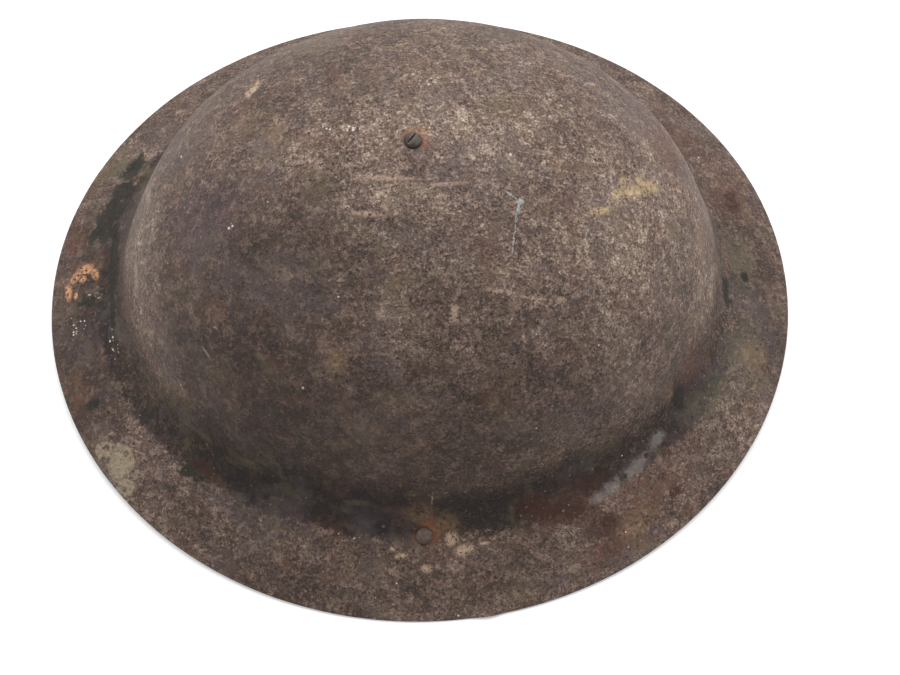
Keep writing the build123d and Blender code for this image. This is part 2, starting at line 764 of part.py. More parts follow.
def stud(reach):
    """A stud through the doubled leather, its lower head sunk flush."""
    with BuildPart(Plane((lug_x, reach, floor_gap))) as part:
        Cylinder(stud_head / 2, stud_head_height, align=(Align.CENTER, Align.CENTER, Align.MIN))
        Cylinder(stud_shank / 2, 2 * leather, align=(Align.CENTER, Align.CENTER, Align.MIN))
        with Locations((0, 0, 2 * leather)):
            Cylinder(stud_head / 2, stud_head_height, align=(Align.CENTER, Align.CENTER, Align.MIN))
    return part.part


with BuildPart() as long_strap_stud:
    add(stud(bar_reach + stud_place))

with BuildPart() as short_strap_studs:
    for reach in short_stud_reaches:
        add(stud(reach))

# Buckle with its prong lying over the far bar
with BuildPart() as buckle_frame:
    add(wire_frame(buckle_plane, buckle_width, buckle_length, buckle_corner))

prong_run = buckle_run + prong_overhang
prong_end = Vector(lug_x, buckle_reach - prong_run, prong_end_height)
prong_out = (prong_end - buckle_origin).normalized()
with BuildPart() as buckle_prong:
    add(rod(buckle_origin + prong_out * (wire_bore + prong_ring_wall / 2), prong_end, prong / 2))
    with BuildSketch(Plane(origin=buckle_origin, z_dir=(1, 0, 0))):
        Circle(wire_bore + prong_ring_wall)
        Circle(wire_bore, mode=Mode.SUBTRACT)
    extrude(amount=prong_width / 2, both=True)

pieces = {
    "shell": shell,
    "crown_screw": crown_screw,
    "crown_washer": crown_washer,
    "cross_strap_long": cross_strap_long,
    "cross_strap_short": cross_strap_short,
    "crown_pad": crown_pad,
    "crown_plate": crown_plate,
    "crown_nut": crown_nut,
    "headband": headband,
    "strap_rivets": strap_rivets,
    "buffers": buffers,
    "buffer_rivets": buffer_rivets,
    "sweatband": sweatband,
    "lining_tongues": lining_tongues,
    "right_lug": right_lug,
    "left_lug": left_lug,
    "right_lug_rivet": right_lug_rivet,
    "left_lug_rivet": left_lug_rivet,
    "right_loop": right_loop,
    "left_loop": left_loop,
    "long_strap": long_strap,
    "short_strap": short_strap,
    "long_strap_stud": long_strap_stud,
    "short_strap_studs": short_strap_studs,
    "buckle_frame": buckle_frame,
    "buckle_prong": buckle_prong,
}
for name, piece in pieces.items():
    piece.part.label = name
    export_step(piece.part, f"parts/{name}.step")

print("lug hinge", hinge_point, "strap bar", bar_reach, bar_height, "buckle bar", buckle_origin)
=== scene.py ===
from math import acos, atan2, cos, hypot, pi, radians, sin, sqrt

import bmesh
import bpy
import numpy as np
from mathutils import Matrix, Vector


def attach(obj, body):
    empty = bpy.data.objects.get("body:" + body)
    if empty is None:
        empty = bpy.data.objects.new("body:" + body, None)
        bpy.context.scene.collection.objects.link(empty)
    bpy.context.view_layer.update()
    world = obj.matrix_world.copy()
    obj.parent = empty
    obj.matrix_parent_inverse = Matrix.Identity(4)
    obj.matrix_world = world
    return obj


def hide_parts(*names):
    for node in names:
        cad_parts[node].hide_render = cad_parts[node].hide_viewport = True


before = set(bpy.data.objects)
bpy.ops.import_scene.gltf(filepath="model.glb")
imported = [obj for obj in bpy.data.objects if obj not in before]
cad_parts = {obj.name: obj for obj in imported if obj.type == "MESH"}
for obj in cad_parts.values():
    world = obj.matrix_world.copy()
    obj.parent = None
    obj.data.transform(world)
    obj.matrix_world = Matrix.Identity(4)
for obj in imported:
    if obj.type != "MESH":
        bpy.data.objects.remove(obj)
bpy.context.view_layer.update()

# Sizes are in millimetres until a mesh is made
MM = 0.001

# Steel, with the part's own sizes
helmet_length = 317.5
helmet_width = 289.6
sheet = 1.0
crown_rise = 112.1
bowl_base_rise = 24.0
fold_reach = 7.7
bowl_half_length, bowl_half_width = 118.6, 102.4
fold_half_length, fold_half_width = 129.1, 108.5
end_fold_rise, side_fold_rise = 15.0, 20.3
end_edge_rise = 4.6
edge_height = sheet * cos(atan2(side_fold_rise, helmet_width / 2 - fold_half_width))
crown_height = edge_height + crown_rise
ENDS = (bowl_half_length, fold_half_length, end_fold_rise, helmet_length / 2, end_edge_rise)
SIDES = (bowl_half_width, fold_half_width, side_fold_rise, helmet_width / 2, 0)
station_steps = (54, 8, 16, 26)   # steps of the bowl, its wall, the bend and the brim
turn_steps = 352
dent_depth, dent_size = 0.8, 42
rust_lump, lump_half, lump_height = Vector((19.0, -142.5, 1.2)), 7.5, 1.3     # on the near edge of the brim
edge_rounding = 0.22

# Liner
crown_hole = Vector((-3.3, -0.2, 0))
band_bottom, band_top = 24.0, 60.0
band_half_length, band_half_width = 102.0, 86.0
band_taper = 6 / 36
webbing_width, webbing_thickness = 22.0, 1.2
washer_bottom = crown_height - sheet - 0.15 - 2.0
long_webbing_height = washer_bottom - webbing_thickness / 2
short_webbing_height = long_webbing_height - webbing_thickness
crossing_half = 12.0
leg_bottom, leg_top = 36.0, 61.0
leg_stand_off = 0.05 + webbing_thickness / 2
webbing_curve_share = 0.42
sweatband_inset = 2.65
sweatband_thickness = 1.2
tongue_bottom = 52.0
tongue_inset = 4.15 + (tongue_bottom - band_bottom) * band_taper
tongue_thickness = 1.0
tongue_rise = 38.0
tongue_mouth_half_length = 36.0
tongue_count = 8
tongue_slit = 6.0
tongue_root = 67.0
pad_draw_in, pad_swell = 0.8, 0.7        # how far the felt is drawn in, and how far it swells again

# Chin strap
lug_x = -4.6
leather = 2.0
strap_width = 20.0
floor_gap = 0.3
bar_reach = 93.4035
bar_height = 3.6
bar_wrap = 2.3                 # from the middle of a bar to the middle of the leather round it
lap_length, lap_taper = 28.0, 12.0
long_reach, long_return, long_settle = 105.0, 68.0, 24.0
fold_radius = 5.0
return_lift = 0.3
strap_point, strap_point_half = 9.0, 3.0
hole_across, hole_pitch, hole_count, hole_start = 3.0, 9.0, 4, 12.0
short_reach = 50.0
ply_low, ply_high = floor_gap + leather / 2, floor_gap + leather * 1.5   # the two layers of a doubled strap
shoulder, shoulder_lift = lap_taper * 0.55, 1.1     # where a strap leaves its bar
end_gap = 0.3                  # half the gap between the short half's ends
leather_sizes = (strap_width, leather, 0.6)
strap_step = 1.5               # between the rows of a strap's points
wave_length = 9.0              # of a strap's uneven surface
stud_head, stud_place = 6.06, 19.0       # across, and from the bar
seam_half, seam_gap = 7.8, 13.0          # from the middle of a strap, and from its bar
stitch_pitch, stitch_length, stitch_thickness = 3.4, 2.5, 0.75
notch_width, notch_depth = 4.4, 8.0      # for the prong
seam_heights = (floor_gap + 2 * leather - 0.1, floor_gap + 0.15)


def tone(red, green, blue):
    """A colour given on a scale of 255, as the shaders want it."""
    shares = (number / 255 for number in (red, green, blue))
    return (*(share / 12.92 if share <= 0.04045 else ((share + 0.055) / 1.055) ** 2.4 for share in shares), 1)


class Bench:
    """Adds nodes to a tree. A node's inputs are given as a dict of sockets or values by name or place."""

    def __init__(self, tree):
        self.tree = tree

    def node(self, kind, inputs=None, give=0, **settings):
        """A new node's output, by its place or name."""
        node = self.tree.nodes.new(kind)
        for name, value in settings.items():
            setattr(node, name, value)
        for place, value in (inputs or {}).items():
            if isinstance(value, bpy.types.NodeSocket):
                self.tree.links.new(value, node.inputs[place])
            else:
                node.inputs[place].default_value = value
        return node.outputs[give]

    def add(self, kind, *inputs, **settings):
        return self.node("ShaderNode" + kind, *inputs, **settings)

    def shape(self, kind, *inputs, **settings):
        return self.node("GeometryNode" + kind, *inputs, **settings)

    def math(self, operation, *values):
        return self.add("Math", dict(enumerate(values)), operation=operation)

    def plus(self, first, second):
        return self.math("ADD", first, second)

    def minus(self, first, second):
        return self.math("SUBTRACT", first, second)

    def over(self, first, second):
        return self.math("DIVIDE", first, second)

    def times(self, first, second, *added):
        """A product, and a third value added to it where one is given."""
        return self.math("MULTIPLY_ADD" if added else "MULTIPLY", first, second, *added)

    def vector(self, operation, *values, give=0):
        return self.add("VectorMath", dict(enumerate(values)), give, operation=operation)

    def parts(self, vector):
        """A vector's three numbers."""
        return self.add("SeparateXYZ", {0: vector}).node.outputs

    def point(self, *numbers):
        """A vector of up to three numbers."""
        return self.add("CombineXYZ", dict(enumerate(numbers)))

    def between(self, value, low, high, start=0.0, end=1.0, smooth=True):
        """start up to low, end from high on, and an even change from low to high."""
        inputs = {"Value": value, "From Min": low, "From Max": high, "To Min": start, "To Max": end}
        return self.add("MapRange", inputs, interpolation_type="SMOOTHSTEP" if smooth else "LINEAR")

    def seen_directly(self):
        """1 for what the camera sees straight, in a mirror or through glass."""
        seen = self.add("LightPath").node.outputs
        direct = self.math("MAXIMUM", seen["Is Camera Ray"], seen["Is Glossy Ray"])
        return self.math("MAXIMUM", direct, seen["Is Transmission Ray"])

    def position(self):
        return self.shape("InputPosition")

    def store(self, geometry, name, value, kind="FLOAT"):
        """A geometry whose points keep a value under a name."""
        inputs = {"Geometry": geometry, "Name": name, "Value": value}
        return self.shape("StoreNamedAttribute", inputs, data_type=kind, domain="POINT")

    def move(self, geometry, **inputs):
        return self.shape("SetPosition", {"Geometry": geometry, **inputs})

    def push(self, geometry, depth):
        """A geometry moved outwards by that depth, and its faces smooth."""
        offset = self.add("VectorMath", {0: self.shape("InputNormal"), "Scale": depth}, operation="SCALE")
        return self.shape("SetShadeSmooth", {"Geometry": self.move(geometry, Offset=offset)})


def new_tree(name, family, inputs, output, kind):
    """An empty node group with named inputs and one output; gives it, its bench and its input sockets."""
    tree = bpy.data.node_groups.new(name, family)
    for label, socket in inputs.items():
        tree.interface.new_socket(label, in_out="INPUT", socket_type="NodeSocket" + socket)
    tree.interface.new_socket(output, in_out="OUTPUT", socket_type="NodeSocket" + kind)
    return tree, Bench(tree), tree.nodes.new("NodeGroupInput").outputs


def shape_tree(name, inputs):
    """An empty Geometry Nodes tree with named inputs."""
    return new_tree(name, "GeometryNodeTree", {"Geometry": "Geometry", **inputs}, "Geometry", "Geometry")


def end_tree(bench, geometry, material):
    """Closes a tree: real meshes, their finish, and the output."""
    geometry = bench.shape("RealizeInstances", {0: geometry})
    geometry = bench.shape("SetMaterial", {0: geometry, "Material": material})
    bench.tree.links.new(geometry, bench.tree.nodes.new("NodeGroupOutput").inputs[0])


def new_object(name, mesh):
    piece = bpy.data.objects.new(name, mesh)
    bpy.context.scene.collection.objects.link(piece)
    return piece


def line_mesh(name, *lines):
    """Edges through the points of each line."""
    points, edges = [], []
    for line in lines:
        edges += [(len(points) + i, len(points) + i + 1) for i in range(len(line) - 1)]
        points += [Vector(p) * MM for p in line]
    mesh = bpy.data.meshes.new(name)
    mesh.from_pydata(points, edges, [])
    return mesh


def settle(piece):
    """Makes a piece's modifiers its own plain mesh."""
    graph = bpy.context.evaluated_depsgraph_get()
    shaped = piece.evaluated_get(graph)
    mesh = bpy.data.meshes.new_from_object(shaped, preserve_all_data_layers=True, depsgraph=graph)
    piece.modifiers.clear()
    piece.data = mesh
    return piece


def grow(name, tree, values, mesh=None):
    """A piece made by a tree with these values."""
    piece = new_object(name, mesh or bpy.data.meshes.new(name))
    modifier = piece.modifiers.new("shape", "NODES")
    modifier.node_group = tree
    for item in tree.interface.items_tree:
        if item.in_out == "INPUT" and item.name in values:
            modifier[item.identifier] = values[item.name]
    return settle(piece)


def place_piece(piece, body, slot, *nodes):
    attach(piece, body)
    if nodes:
        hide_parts(*nodes)
    return piece


# Materials
class Finish(Bench):
    """A material whose patterns lie in the piece's own millimetres."""

    def __init__(self, name, roughness=0.7, metallic=0.0):
        self.material = bpy.data.materials.new(name)
        self.material.use_nodes = True
        super().__init__(self.material.node_tree)
        self.shader = self.tree.nodes["Principled BSDF"]
        self.shader.inputs["Roughness"].default_value = roughness
        self.shader.inputs["Metallic"].default_value = metallic
        own = self.add("TexCoord", give="Object")
        self.place = self.vector("MULTIPLY", own, (1 / MM,) * 3)

    def shifted(self, seed):
        """The place moved far off, so that patterns with other seeds don't look alike."""
        return self.vector("ADD", self.place, (seed * 31.7, seed * -17.3, seed * 23.9))

    def cloud(self, size, detail, rough, seed, warp=0.0):
        """Cloudy noise from 0 to 1 whose largest clouds are about that size."""
        inputs = {"Vector": self.shifted(seed), "Scale": 1 / size, "Detail": detail, "Roughness": rough}
        return self.add("TexNoise", {**inputs, "Distortion": warp})

    def cells(self, size, seed):
        """How far off the nearest random cell's middle is, in cells, and the cell's own number."""
        near = self.add("TexVoronoi", {"Vector": self.shifted(seed), "Scale": 1 / size}, "Distance")
        own = self.add("SeparateColor", {0: near.node.outputs["Color"]})
        return near, own

    def dots(self, size, small, large, share, seed):
        """Round dots of mixed radius, as shares of the cells' size, in a share of the cells."""
        near, own = self.cells(size, seed)
        reach = self.between(own, 1 - share, 1.0, small, large, smooth=False)
        shown = self.math("GREATER_THAN", own, 1 - share)
        edge = self.over(near, reach)
        return self.times(self.between(edge, 1.0, 0.6), shown)

    def mix(self, factor, first, second):
        return self.add("Mix", {0: factor, 6: first, 7: second}, 2, data_type="RGBA")

    def tones(self, factor, dark, light):
        return self.mix(factor, tone(*dark), tone(*light))

    def ramp(self, value, stops):
        """Colours at stops along a value."""
        node = self.tree.nodes.new("ShaderNodeValToRGB")
        colours = node.color_ramp.elements
        while len(colours) < len(stops):
            colours.new(1.0)
        for stop, (position, colour) in zip(colours, stops):
            stop.position, stop.color = position, colour
        self.tree.links.new(value, node.inputs[0])
        return node.outputs[0]

    def paint(self, colour, roughness=None, metallic=None):
        self.tree.links.new(colour, self.shader.inputs["Base Color"])
        if roughness is not None:
            self.tree.links.new(roughness, self.shader.inputs["Roughness"])
        if metallic is not None:
            self.tree.links.new(metallic, self.shader.inputs["Metallic"])

    def relief(self, height, depth):
        """Bumps of up to that depth."""
        bump = self.add("Bump", {"Height": height, "Distance": depth * MM, "Strength": 1.0})
        self.tree.links.new(bump, self.shader.inputs["Normal"])


def mark_group():
    """A node group that gives a ragged oval patch: 1 in its middle and 0 outside."""
    tree, bench, given = new_tree("patch", "ShaderNodeTree", {
        "Place": "Vector", "Middle": "Vector", "Turn": "Vector", "Half size": "Vector",
        "Grain": "Float", "Ragged": "Float", "Soft": "Float"}, "Mask", "Float")
    local = bench.add("Mapping", {
        "Vector": given["Place"], "Location": given["Middle"], "Rotation": given["Turn"],
        "Scale": given["Half size"]}, vector_type="TEXTURE")
    reach = bench.vector("LENGTH", local, give=1)
    ragged = bench.times(given["Grain"], given["Ragged"], reach)
    mask = bench.between(ragged, 1.0, bench.minus(1.0, given["Soft"]))
    tree.links.new(mask, tree.nodes.new("NodeGroupOutput").inputs[0])
    return tree


PATCH = mark_group()


class Weathered(Finish):
    """The rusted paint of the steel. Each face of the steel knows the nearest patch of every kind."""

    def lay(self, mask, strength, tint):
        """Lays a tint over the colour so far."""
        self.colour = self.mix(self.times(mask, strength), self.colour, tone(*tint))

    def lay_patches(self, kind, ragged, soft, strength, tint, *breaks, grain=None):
        """Lays a tint in the patches of a kind, where the breaks leave them whole."""
        node = self.tree.nodes.new("ShaderNodeGroup")
        node.node_tree = PATCH
        for label in ("Middle", "Half size", "Turn"):
            own = self.add("Attribute", give="Vector", attribute_name=f"{kind} {label}")
            self.tree.links.new(own, node.inputs[label])
        node.inputs["Ragged"].default_value = ragged
        node.inputs["Soft"].default_value = soft
        self.tree.links.new(self.place, node.inputs["Place"])
        self.tree.links.new(grain or self.grain, node.inputs["Grain"])
        mask = node.outputs[0]
        for cut in breaks:
            mask = self.times(mask, cut)
        self.lay(mask, strength, tint)


# Patches of paint, rust and dirt on the steel: place, half length, half width, turn, and half height
# where the steel is steep
patches = {
    "mauve": [
        (-53.8, -104.5, 17, 8, 4.6, -8), (47, -132.5, 5, 10, 5, 14), (-76, -14, 88, 26, 24, 0, 30),
        (-142, -28, 9, 12, 12, 0), (-88, 18, 82, 14, 22, 0), (52, -86, 50, 10, 8, 0, 14),
        (86, 34, 80, 20, 24, 0), (-80, -98, 13, 12, 7, -30),
    ],
    "rust": [
        (52, -107, 15, 24, 9, 10), (84, -100, 12, 34, 14, 38), (70, -120, 8, 24, 7, 26),
        (-143.3, -45.4, 8, 6, 13, 8), (136, 35, 11, 14, 24, 10), (118, 62, 12, 14, 16, -30),
        (104, -60, 36, 10, 18, 0, 18), (-150, 24, 8, 7, 12, 0), (95, 18, 72, 14, 28, 0, 30),
    ],
    "green": [
        (131, -44, 13, 14, 24, -26), (120, -60, 16, 18, 13, 40), (110, -66, 18, 16, 9, 30),
        (-129, 60, 10, 12, 10, 0), (137, 0, 13, 9, 26, 6),
    ],
    "tan": [
        (-51.9, 12, 103, 5.5, 7.0, 10), (-32.8, -69.3, 85, 5.5, 6.5, 20), (-6, -108, 22, 9, 5, 0),
        (4, -112, 19, 8, 6, 0), (136.8, -43.6, 10, 9, 9, 0), (106.5, -14, 57, 5, 14, 0, 22),
        (80, -112, 9, 14, 7, 38), (92, -66, 30, 6, 7, 30, 14),
    ],
    "deep rust": [
        (50, -108, 14, 17, 6.5, 6), (37, -106, 18, 12, 4.6, 0), (66, -112, 10, 8, 5.5, 20),
        (60, -99, 24, 12, 5, 14), (96, -100, 9, 4, 2.6, 30), (139, 30, 9, 5, 9, 0),
        (-90, -84, 18, 8, 3.4, -30),
    ],
    "moss": [
        (-134.5, 36, 12, 8, 15, -18), (-137.5, 27, 12, 8.5, 10, 0), (-130, 46, 13, 7, 10, -26),
        (-131, 12, 15, 3.0, 26, 2), (-129.5, -14, 15, 1.8, 12, 6), (-141.5, -7, 12, 6.0, 4.0, 0),
        (-137, -52, 9, 4, 3, 0), (127, -16.9, 18, 3.6, 9, 6), (137.8, -7.7, 12, 2.8, 3.6, 0),
        (99, -66, 25, 5.0, 5.4, 20), (-127, 58, 13, 5, 12, -30), (-95, -85, 18, 8, 3, -28),
    ],
    "pink": [
        (24, -52, 99, 8, 1.1, -4), (36, -53.5, 95, 10, 0.9, -2), (45, -53.5, 92, 3, 1.6, 14),
        (8.2, -58.6, 97, 1.7, 4.2, 0), (-80.4, -56.8, 67, 4.0, 0.45, -58), (-76, -51, 72, 2.6, 0.5, -40),
        (-12, -14, 111, 14, 1.5, -4), (8, -17, 111, 10, 1.1, 4), (-20, -26, 108, 9, 1.5, -9),
        (-105.7, 11.7, 64, 2.2, 6.5, 12, 9), (-111.5, -16, 52, 2.0, 10, 4, 12), (-14, -24, 109, 1.2, 4, 30),
        (60, -46, 88, 6, 1.1, -18), (-12, -14, 111, 16, 1.0, -6), (-36, -6, 110, 2.6, 5, 24),
        (66, 38, 89, 3.4, 1.5, 20),
    ],
    "bare": [
        (80, -91.5, 17, 10.5, 4.0, 41), (88.5, -82, 18, 6.5, 3.2, 50), (70, -99, 15, 7.5, 3.6, 36),
        (64, -103, 15, 5.5, 2.6, 20),
    ],
    "grey": [
        (-124.5, -77.5, 7, 5.8, 8.4, -14), (-131.5, -71.5, 6, 4.2, 4.2, 0), (-122.5, -87, 5, 4.6, 4.2, 0),
    ],
    "yellow": [
        (61.2, -22, 98, 6.0, 2.0, 26), (69, -14, 95, 5.6, 2.6, 42), (76, -11, 92, 10.5, 3.4, 22),
        (79, -6, 90, 4.0, 2.4, 60), (83, -6.3, 88, 6.4, 3.2, 8), (97.2, -1.5, 75, 3.2, 1.2, 10, 5),
        (72, -9, 95, 2.4, 4.4, -12),
    ],
    "orange": [
        (-151.2, -0.5, 8, 2.0, 5.6, 8), (-148.5, 6.0, 9, 2.8, 4.6, -38), (-144, 9.0, 11, 5.2, 3.4, -4),
        (-139.6, 6.0, 13, 2.2, 4.4, 26), (-145, 4.4, 10, 2.6, 2.0, 0), (-147.6, -3.0, 9, 1.0, 2.4, 0),
    ],
    "cream": [
        (-62, 38.8, 92, 2.6, 5.6, -32), (-60.5, 42, 91, 1.4, 2.6, -10), (-13.6, -121.5, 13, 3.0, 1.7, 12),
        (-17, -119, 14, 1.6, 1.0, -20), (-4.4, -126.5, 11, 3.0, 1.8, -8), (10.4, -120.8, 14, 4.6, 2.4, 14),
        (18.2, -118.6, 15, 2.6, 1.0, 0), (6, -116.5, 17, 3.6, 2.8, 20), (-1, -104, 22, 0.5, 2.4, -12),
    ],
    "blue": [
        (29.5, -20.5, 109, 3.2, 0.5, -35), (31.4, -26.0, 107, 5.6, 0.7, 76), (29.6, -35, 105, 6.4, 0.45, 80),
        (32.5, -22.5, 107, 1.7, 1.5, 0),
    ],
    "white": [
        (-32, 8, 109, 3.2, 1.6, -8), (-25, 7.2, 110, 4.4, 1.9, -5), (-18.5, 5.9, 111, 2.2, 1.2, 0),
        (-56.2, -16.3, 101, 2.2, 0.9, 8), (-68.1, -21.7, 94, 3.4, 2.4, -18),
        (-43.9, -28.5, 103, 1.2, 0.9, 0), (-128.7, -29.1, 15, 2.2, 9.5, 14), (-146.3, -17, 9, 6.5, 5.5, 0),
        (-138.6, -4.1, 13, 4.2, 2.6, 0), (-0.7, -69.5, 89, 1.7, 1.6, 0), (-30.4, -114.3, 16, 2.6, 0.8, 24),
        (-21.9, -118.3, 15, 3.0, 1.2, 20), (-117, 14, 40, 1.4, 9, 10, 14),
    ],
    "halo": [
        (-3.0, -114.2, 18, 6.4, 6.4, 0, 12), (-4.6, 115, 17, 6.4, 6.4, 0, 12),
        (-1.8, 1.2, 113, 7.0, 6.0, 0, 12),
    ],
    "dark ring": [
        (-4.6, -115.2, 18, 4.3, 4.3, 0, 12), (-4.6, 115.2, 18, 4.3, 4.3, 0, 12),
        (-3.3, -0.4, 113, 4.2, 4.2, 0, 12),
    ],
}
# Soft zones of the steel, written like the patches, and how much lighter they are. The darker zones on the
# near side of the dome are painted shade, and the lighter zones on the left and right walls are painted
# highlight
tone_zones = [
    (-66, -42, 80, 54, 42, 20, 60, -0.19), (-40, -84, 50, 78, 36, 8, 50, -0.19),
    (-104, 34, 60, 16, 30, 0, 30, -0.05), (20, 15, 108, 80, 62, 0, 40, 0.12),
    (62, -42, 88, 34, 30, 20, 40, 0.12), (84, 5, 80, 36, 60, 0, 60, 0.11),
    (-107, -5, 60, 16, 50, 0, 30, 0.06), (-142, -20, 8, 22, 84, 0, 20, -0.2),
    (0, -130, 8, 130, 24, 0, 16, -0.05), (146, -15, 8, 18, 66, 0, 20, -0.13),
    (80, -88, 18, 34, 14, 40, 30, 0.1), (106, -14, 55, 12, 50, 0, 40, 0.05),
]



def patch_values(x, y, z, half_length, half_width, turn, half_height=20):
    """What each face near a patch is told about it."""
    half_size = (half_length, half_width, half_height)
    return {"Middle": (x, y, z), "Half size": half_size, "Turn": (0, 0, radians(turn))}


def reach_of(points, patch):
    """How far points lie from a patch's middle: 1 on its border."""
    middle, half_size, turn = patch_values(*patch).values()
    x, y, z = (points - np.array(middle)).T
    cosine, sine = cos(turn[2]), sin(turn[2])
    local = np.stack([x * cosine + y * sine, y * cosine - x * sine, z], 1)
    return np.linalg.norm(local / np.array(half_size), axis=1)


def mark_steel(mesh):
    """Tells each face its nearest patch of every kind, and each point how light its paint is, painted shade
    and highlight included.
    """
    middles = np.array([face.center for face in mesh.polygons]) / MM
    for kind, rows in patches.items():
        nearest = np.stack([reach_of(middles, row) for row in rows]).argmin(0)
        told = [patch_values(*row) for row in rows]
        for label in told[0]:
            values = np.array([row[label] for row in told], np.float32)[nearest]
            own = mesh.attributes.new(f"{kind} {label}", "FLOAT_VECTOR", "FACE")
            own.data.foreach_set("vector", values.ravel())
    points = np.array([vertex.co for vertex in mesh.vertices]) / MM
    lightness = np.zeros(len(points), np.float32)
    for *zone, amount in tone_zones:
        lightness += amount * np.clip(1.1 - reach_of(points, zone), 0, 0.9) / 0.9
    mesh.attributes.new("lightness", "FLOAT", "POINT").data.foreach_set("value", lightness)


def rusted_paint():
    """Old brown paint on pressed steel, rusted, pitted and worn in patches, with painted shade in the fold
    and painted highlight on the walls.
    """
    steel = Weathered("rusted_paint", 0.72)
    between, times, minus = steel.between, steel.times, steel.minus
    steel.shader.inputs["Specular IOR Level"].default_value = 0.3
    station, lightness = (
        steel.add("Attribute", give="Fac", attribute_name=name) for name in ("station", "lightness"))
    across = steel.parts(steel.place)
    blotch = steel.cloud(20, 4, 0.62, 2, 0.4)
    mottle = steel.cloud(5.5, 5, 0.72, 3, 0.3)
    fine = steel.cloud(1.5, 3, 0.8, 4)
    dust = steel.cloud(0.75, 1, 0.7, 5)
    ragged = steel.cloud(4.5, 5, 0.8, 6)
    steel.grain = times(ragged, 6.0, -3.0)
    crumb = times(fine, 6.0, -3.0)

    # How light the paint is, before its colours
    value = 0.47
    for cloud, weight in ((steel.cloud(60, 2, 0.55, 1), 0.30), (blotch, 0.55), (mottle, 0.75)):
        value = times(minus(cloud, 0.5), weight, value)
    # The soft zones add their painted shade and highlight here
    value = steel.plus(value, lightness)
    # The grain of the rust is coarse on the light side of the crown and fine on the dark one
    speckle = times(minus(fine, 0.5), 1.2, minus(dust, 0.5))
    value = times(speckle, between(lightness, -0.14, 0.08, 0.45, 0.85), value)
    # Painted shade, with some dark stain, darkens the fold, most on the wearer's right and at the back. The
    # walls above at both ends are lighter with a painted highlight
    torn = times(ragged, 0.35, minus(station, 0.17))
    fold = times(between(torn, 1.25, 2.2), between(torn, 3.10, 2.98))
    flakes = minus(between(times(fine, 0.25, ragged), 0.60, 0.66), 0.5)
    value = times(flakes, 0.13, value)
    # How much painted shade and stain the fold gets on the near side and at the back
    near_shade_and_stain = between(across[1], -20, -75, 0.08, 0.41)
    back_shade_and_stain = between(across[0], -95, -118, 0.0, 0.26)
    value = minus(value, times(fold, steel.math("MAXIMUM", near_shade_and_stain, back_shade_and_stain)))
    # Painted highlight: the walls at both ends are made lighter
    wall = times(between(station, 0.72, 1.0), between(station, 1.9, 1.5))
    side_highlight = between(steel.math("ABSOLUTE", across[0]), 78, 108, 0.0, 0.10)
    value = times(wall, side_highlight, value)
    steel.colour = steel.ramp(value, [
        (0.02, tone(26, 19, 16)), (0.26, tone(60, 46, 40)), (0.47, tone(96, 79, 70)),
        (0.64, tone(126, 106, 95)), (0.84, tone(162, 143, 127)), (1.0, tone(202, 186, 166)),
    ])

    # Tints that keep the texture below them
    for tint, size, seed, low, high, strength in (
            ((112, 78, 62), 14, 8, 0.52, 0.64, 0.24),
            ((116, 104, 78), 17, 9, 0.52, 0.64, 0.30),
            ((94, 84, 86), 26, 10, 0.50, 0.62, 0.3)):
        steel.lay(between(steel.cloud(size, 5, 0.72, seed, 0.5), low, high), strength, tint)
    broken = between(times(fine, 0.6, ragged), 0.62, 0.84)
    clouded = between(mottle, 0.34, 0.6, 0.25, 1.0)
    steel.lay_patches("mauve", 0.25, 0.85, 0.42, (82, 68, 76), clouded)
    steel.lay_patches("rust", 0.3, 0.8, 0.58, (96, 60, 47), clouded)
    steel.lay_patches("green", 0.3, 0.85, 0.55, (90, 88, 70), clouded)
    steel.lay_patches("tan", 0.3, 0.75, 0.45, (148, 120, 90), broken)
    steel.lay_patches("deep rust", 0.35, 0.5, 0.95, (58, 33, 25), broken)
    steel.lay_patches("moss", 0.35, 0.5, 0.95, (32, 28, 20), between(ragged, 0.28, 0.40))
    # Small spots all over: pale grains of lost paint, dark pits of rust and a few bright flecks
    pale = steel.dots(2.4, 0.10, 0.28, 0.34, 11)
    steel.lay(pale, between(lightness, -0.12, 0.08, 0.22, 0.45), (176, 156, 136))
    pits = steel.dots(2.2, 0.16, 0.34, 0.42, 12)
    steel.lay(pits, 0.6, (40, 29, 24))
    steel.lay(steel.dots(7.5, 0.03, 0.09, 0.30, 13), 0.9, (216, 206, 190))
    # Patches with a ragged edge of their own
    flaked = between(fine, 0.38, 0.50)
    specks = steel.dots(1.5, 0.22, 0.46, 0.75, 14)
    holes = minus(1.0, steel.dots(4.6, 0.26, 0.44, 0.62, 15))
    flecks = times(steel.grain, 0.6, times(crumb, 0.7))
    chalky = between(fine, 0.36, 0.54, 0.4, 1.0)
    steel.lay_patches("pink", 0.3, 0.7, 0.75, (172, 146, 130), flaked, grain=crumb)
    steel.lay_patches("bare", 0.42, 0.8, 0.66, (138, 129, 124), holes)
    steel.lay_patches("grey", 0.30, 0.2, 0.9, (158, 143, 120), holes, chalky)
    steel.lay_patches("yellow", 0.45, 0.7, 0.85, (186, 160, 120), flaked, grain=flecks)
    steel.lay_patches("orange", 0.35, 0.5, 0.95, (206, 152, 112), flaked, grain=flecks)
    steel.lay_patches("cream", 0.55, 0.6, 0.85, (196, 168, 142), flaked, grain=flecks)
    steel.lay_patches("blue", 0.2, 0.5, 0.9, (170, 176, 174), flaked, grain=crumb)
    steel.lay_patches("white", 0.2, 0.5, 0.95, (222, 212, 196), specks, grain=crumb)
    # Rust creeps out from the rivets and the crown screw
    steel.lay_patches("halo", 0.35, 0.8, 0.75, (146, 96, 66))
    steel.lay_patches("dark ring", 0.1, 0.4, 0.7, (50, 32, 26))

    steel.paint(steel.colour, between(mottle, 0.3, 0.7, 0.58, 0.82))
    height = times(fine, 0.9, mottle)
    steel.relief(times(pits, -0.4, times(flakes, 0.35, height)), 0.5)
    return steel.material


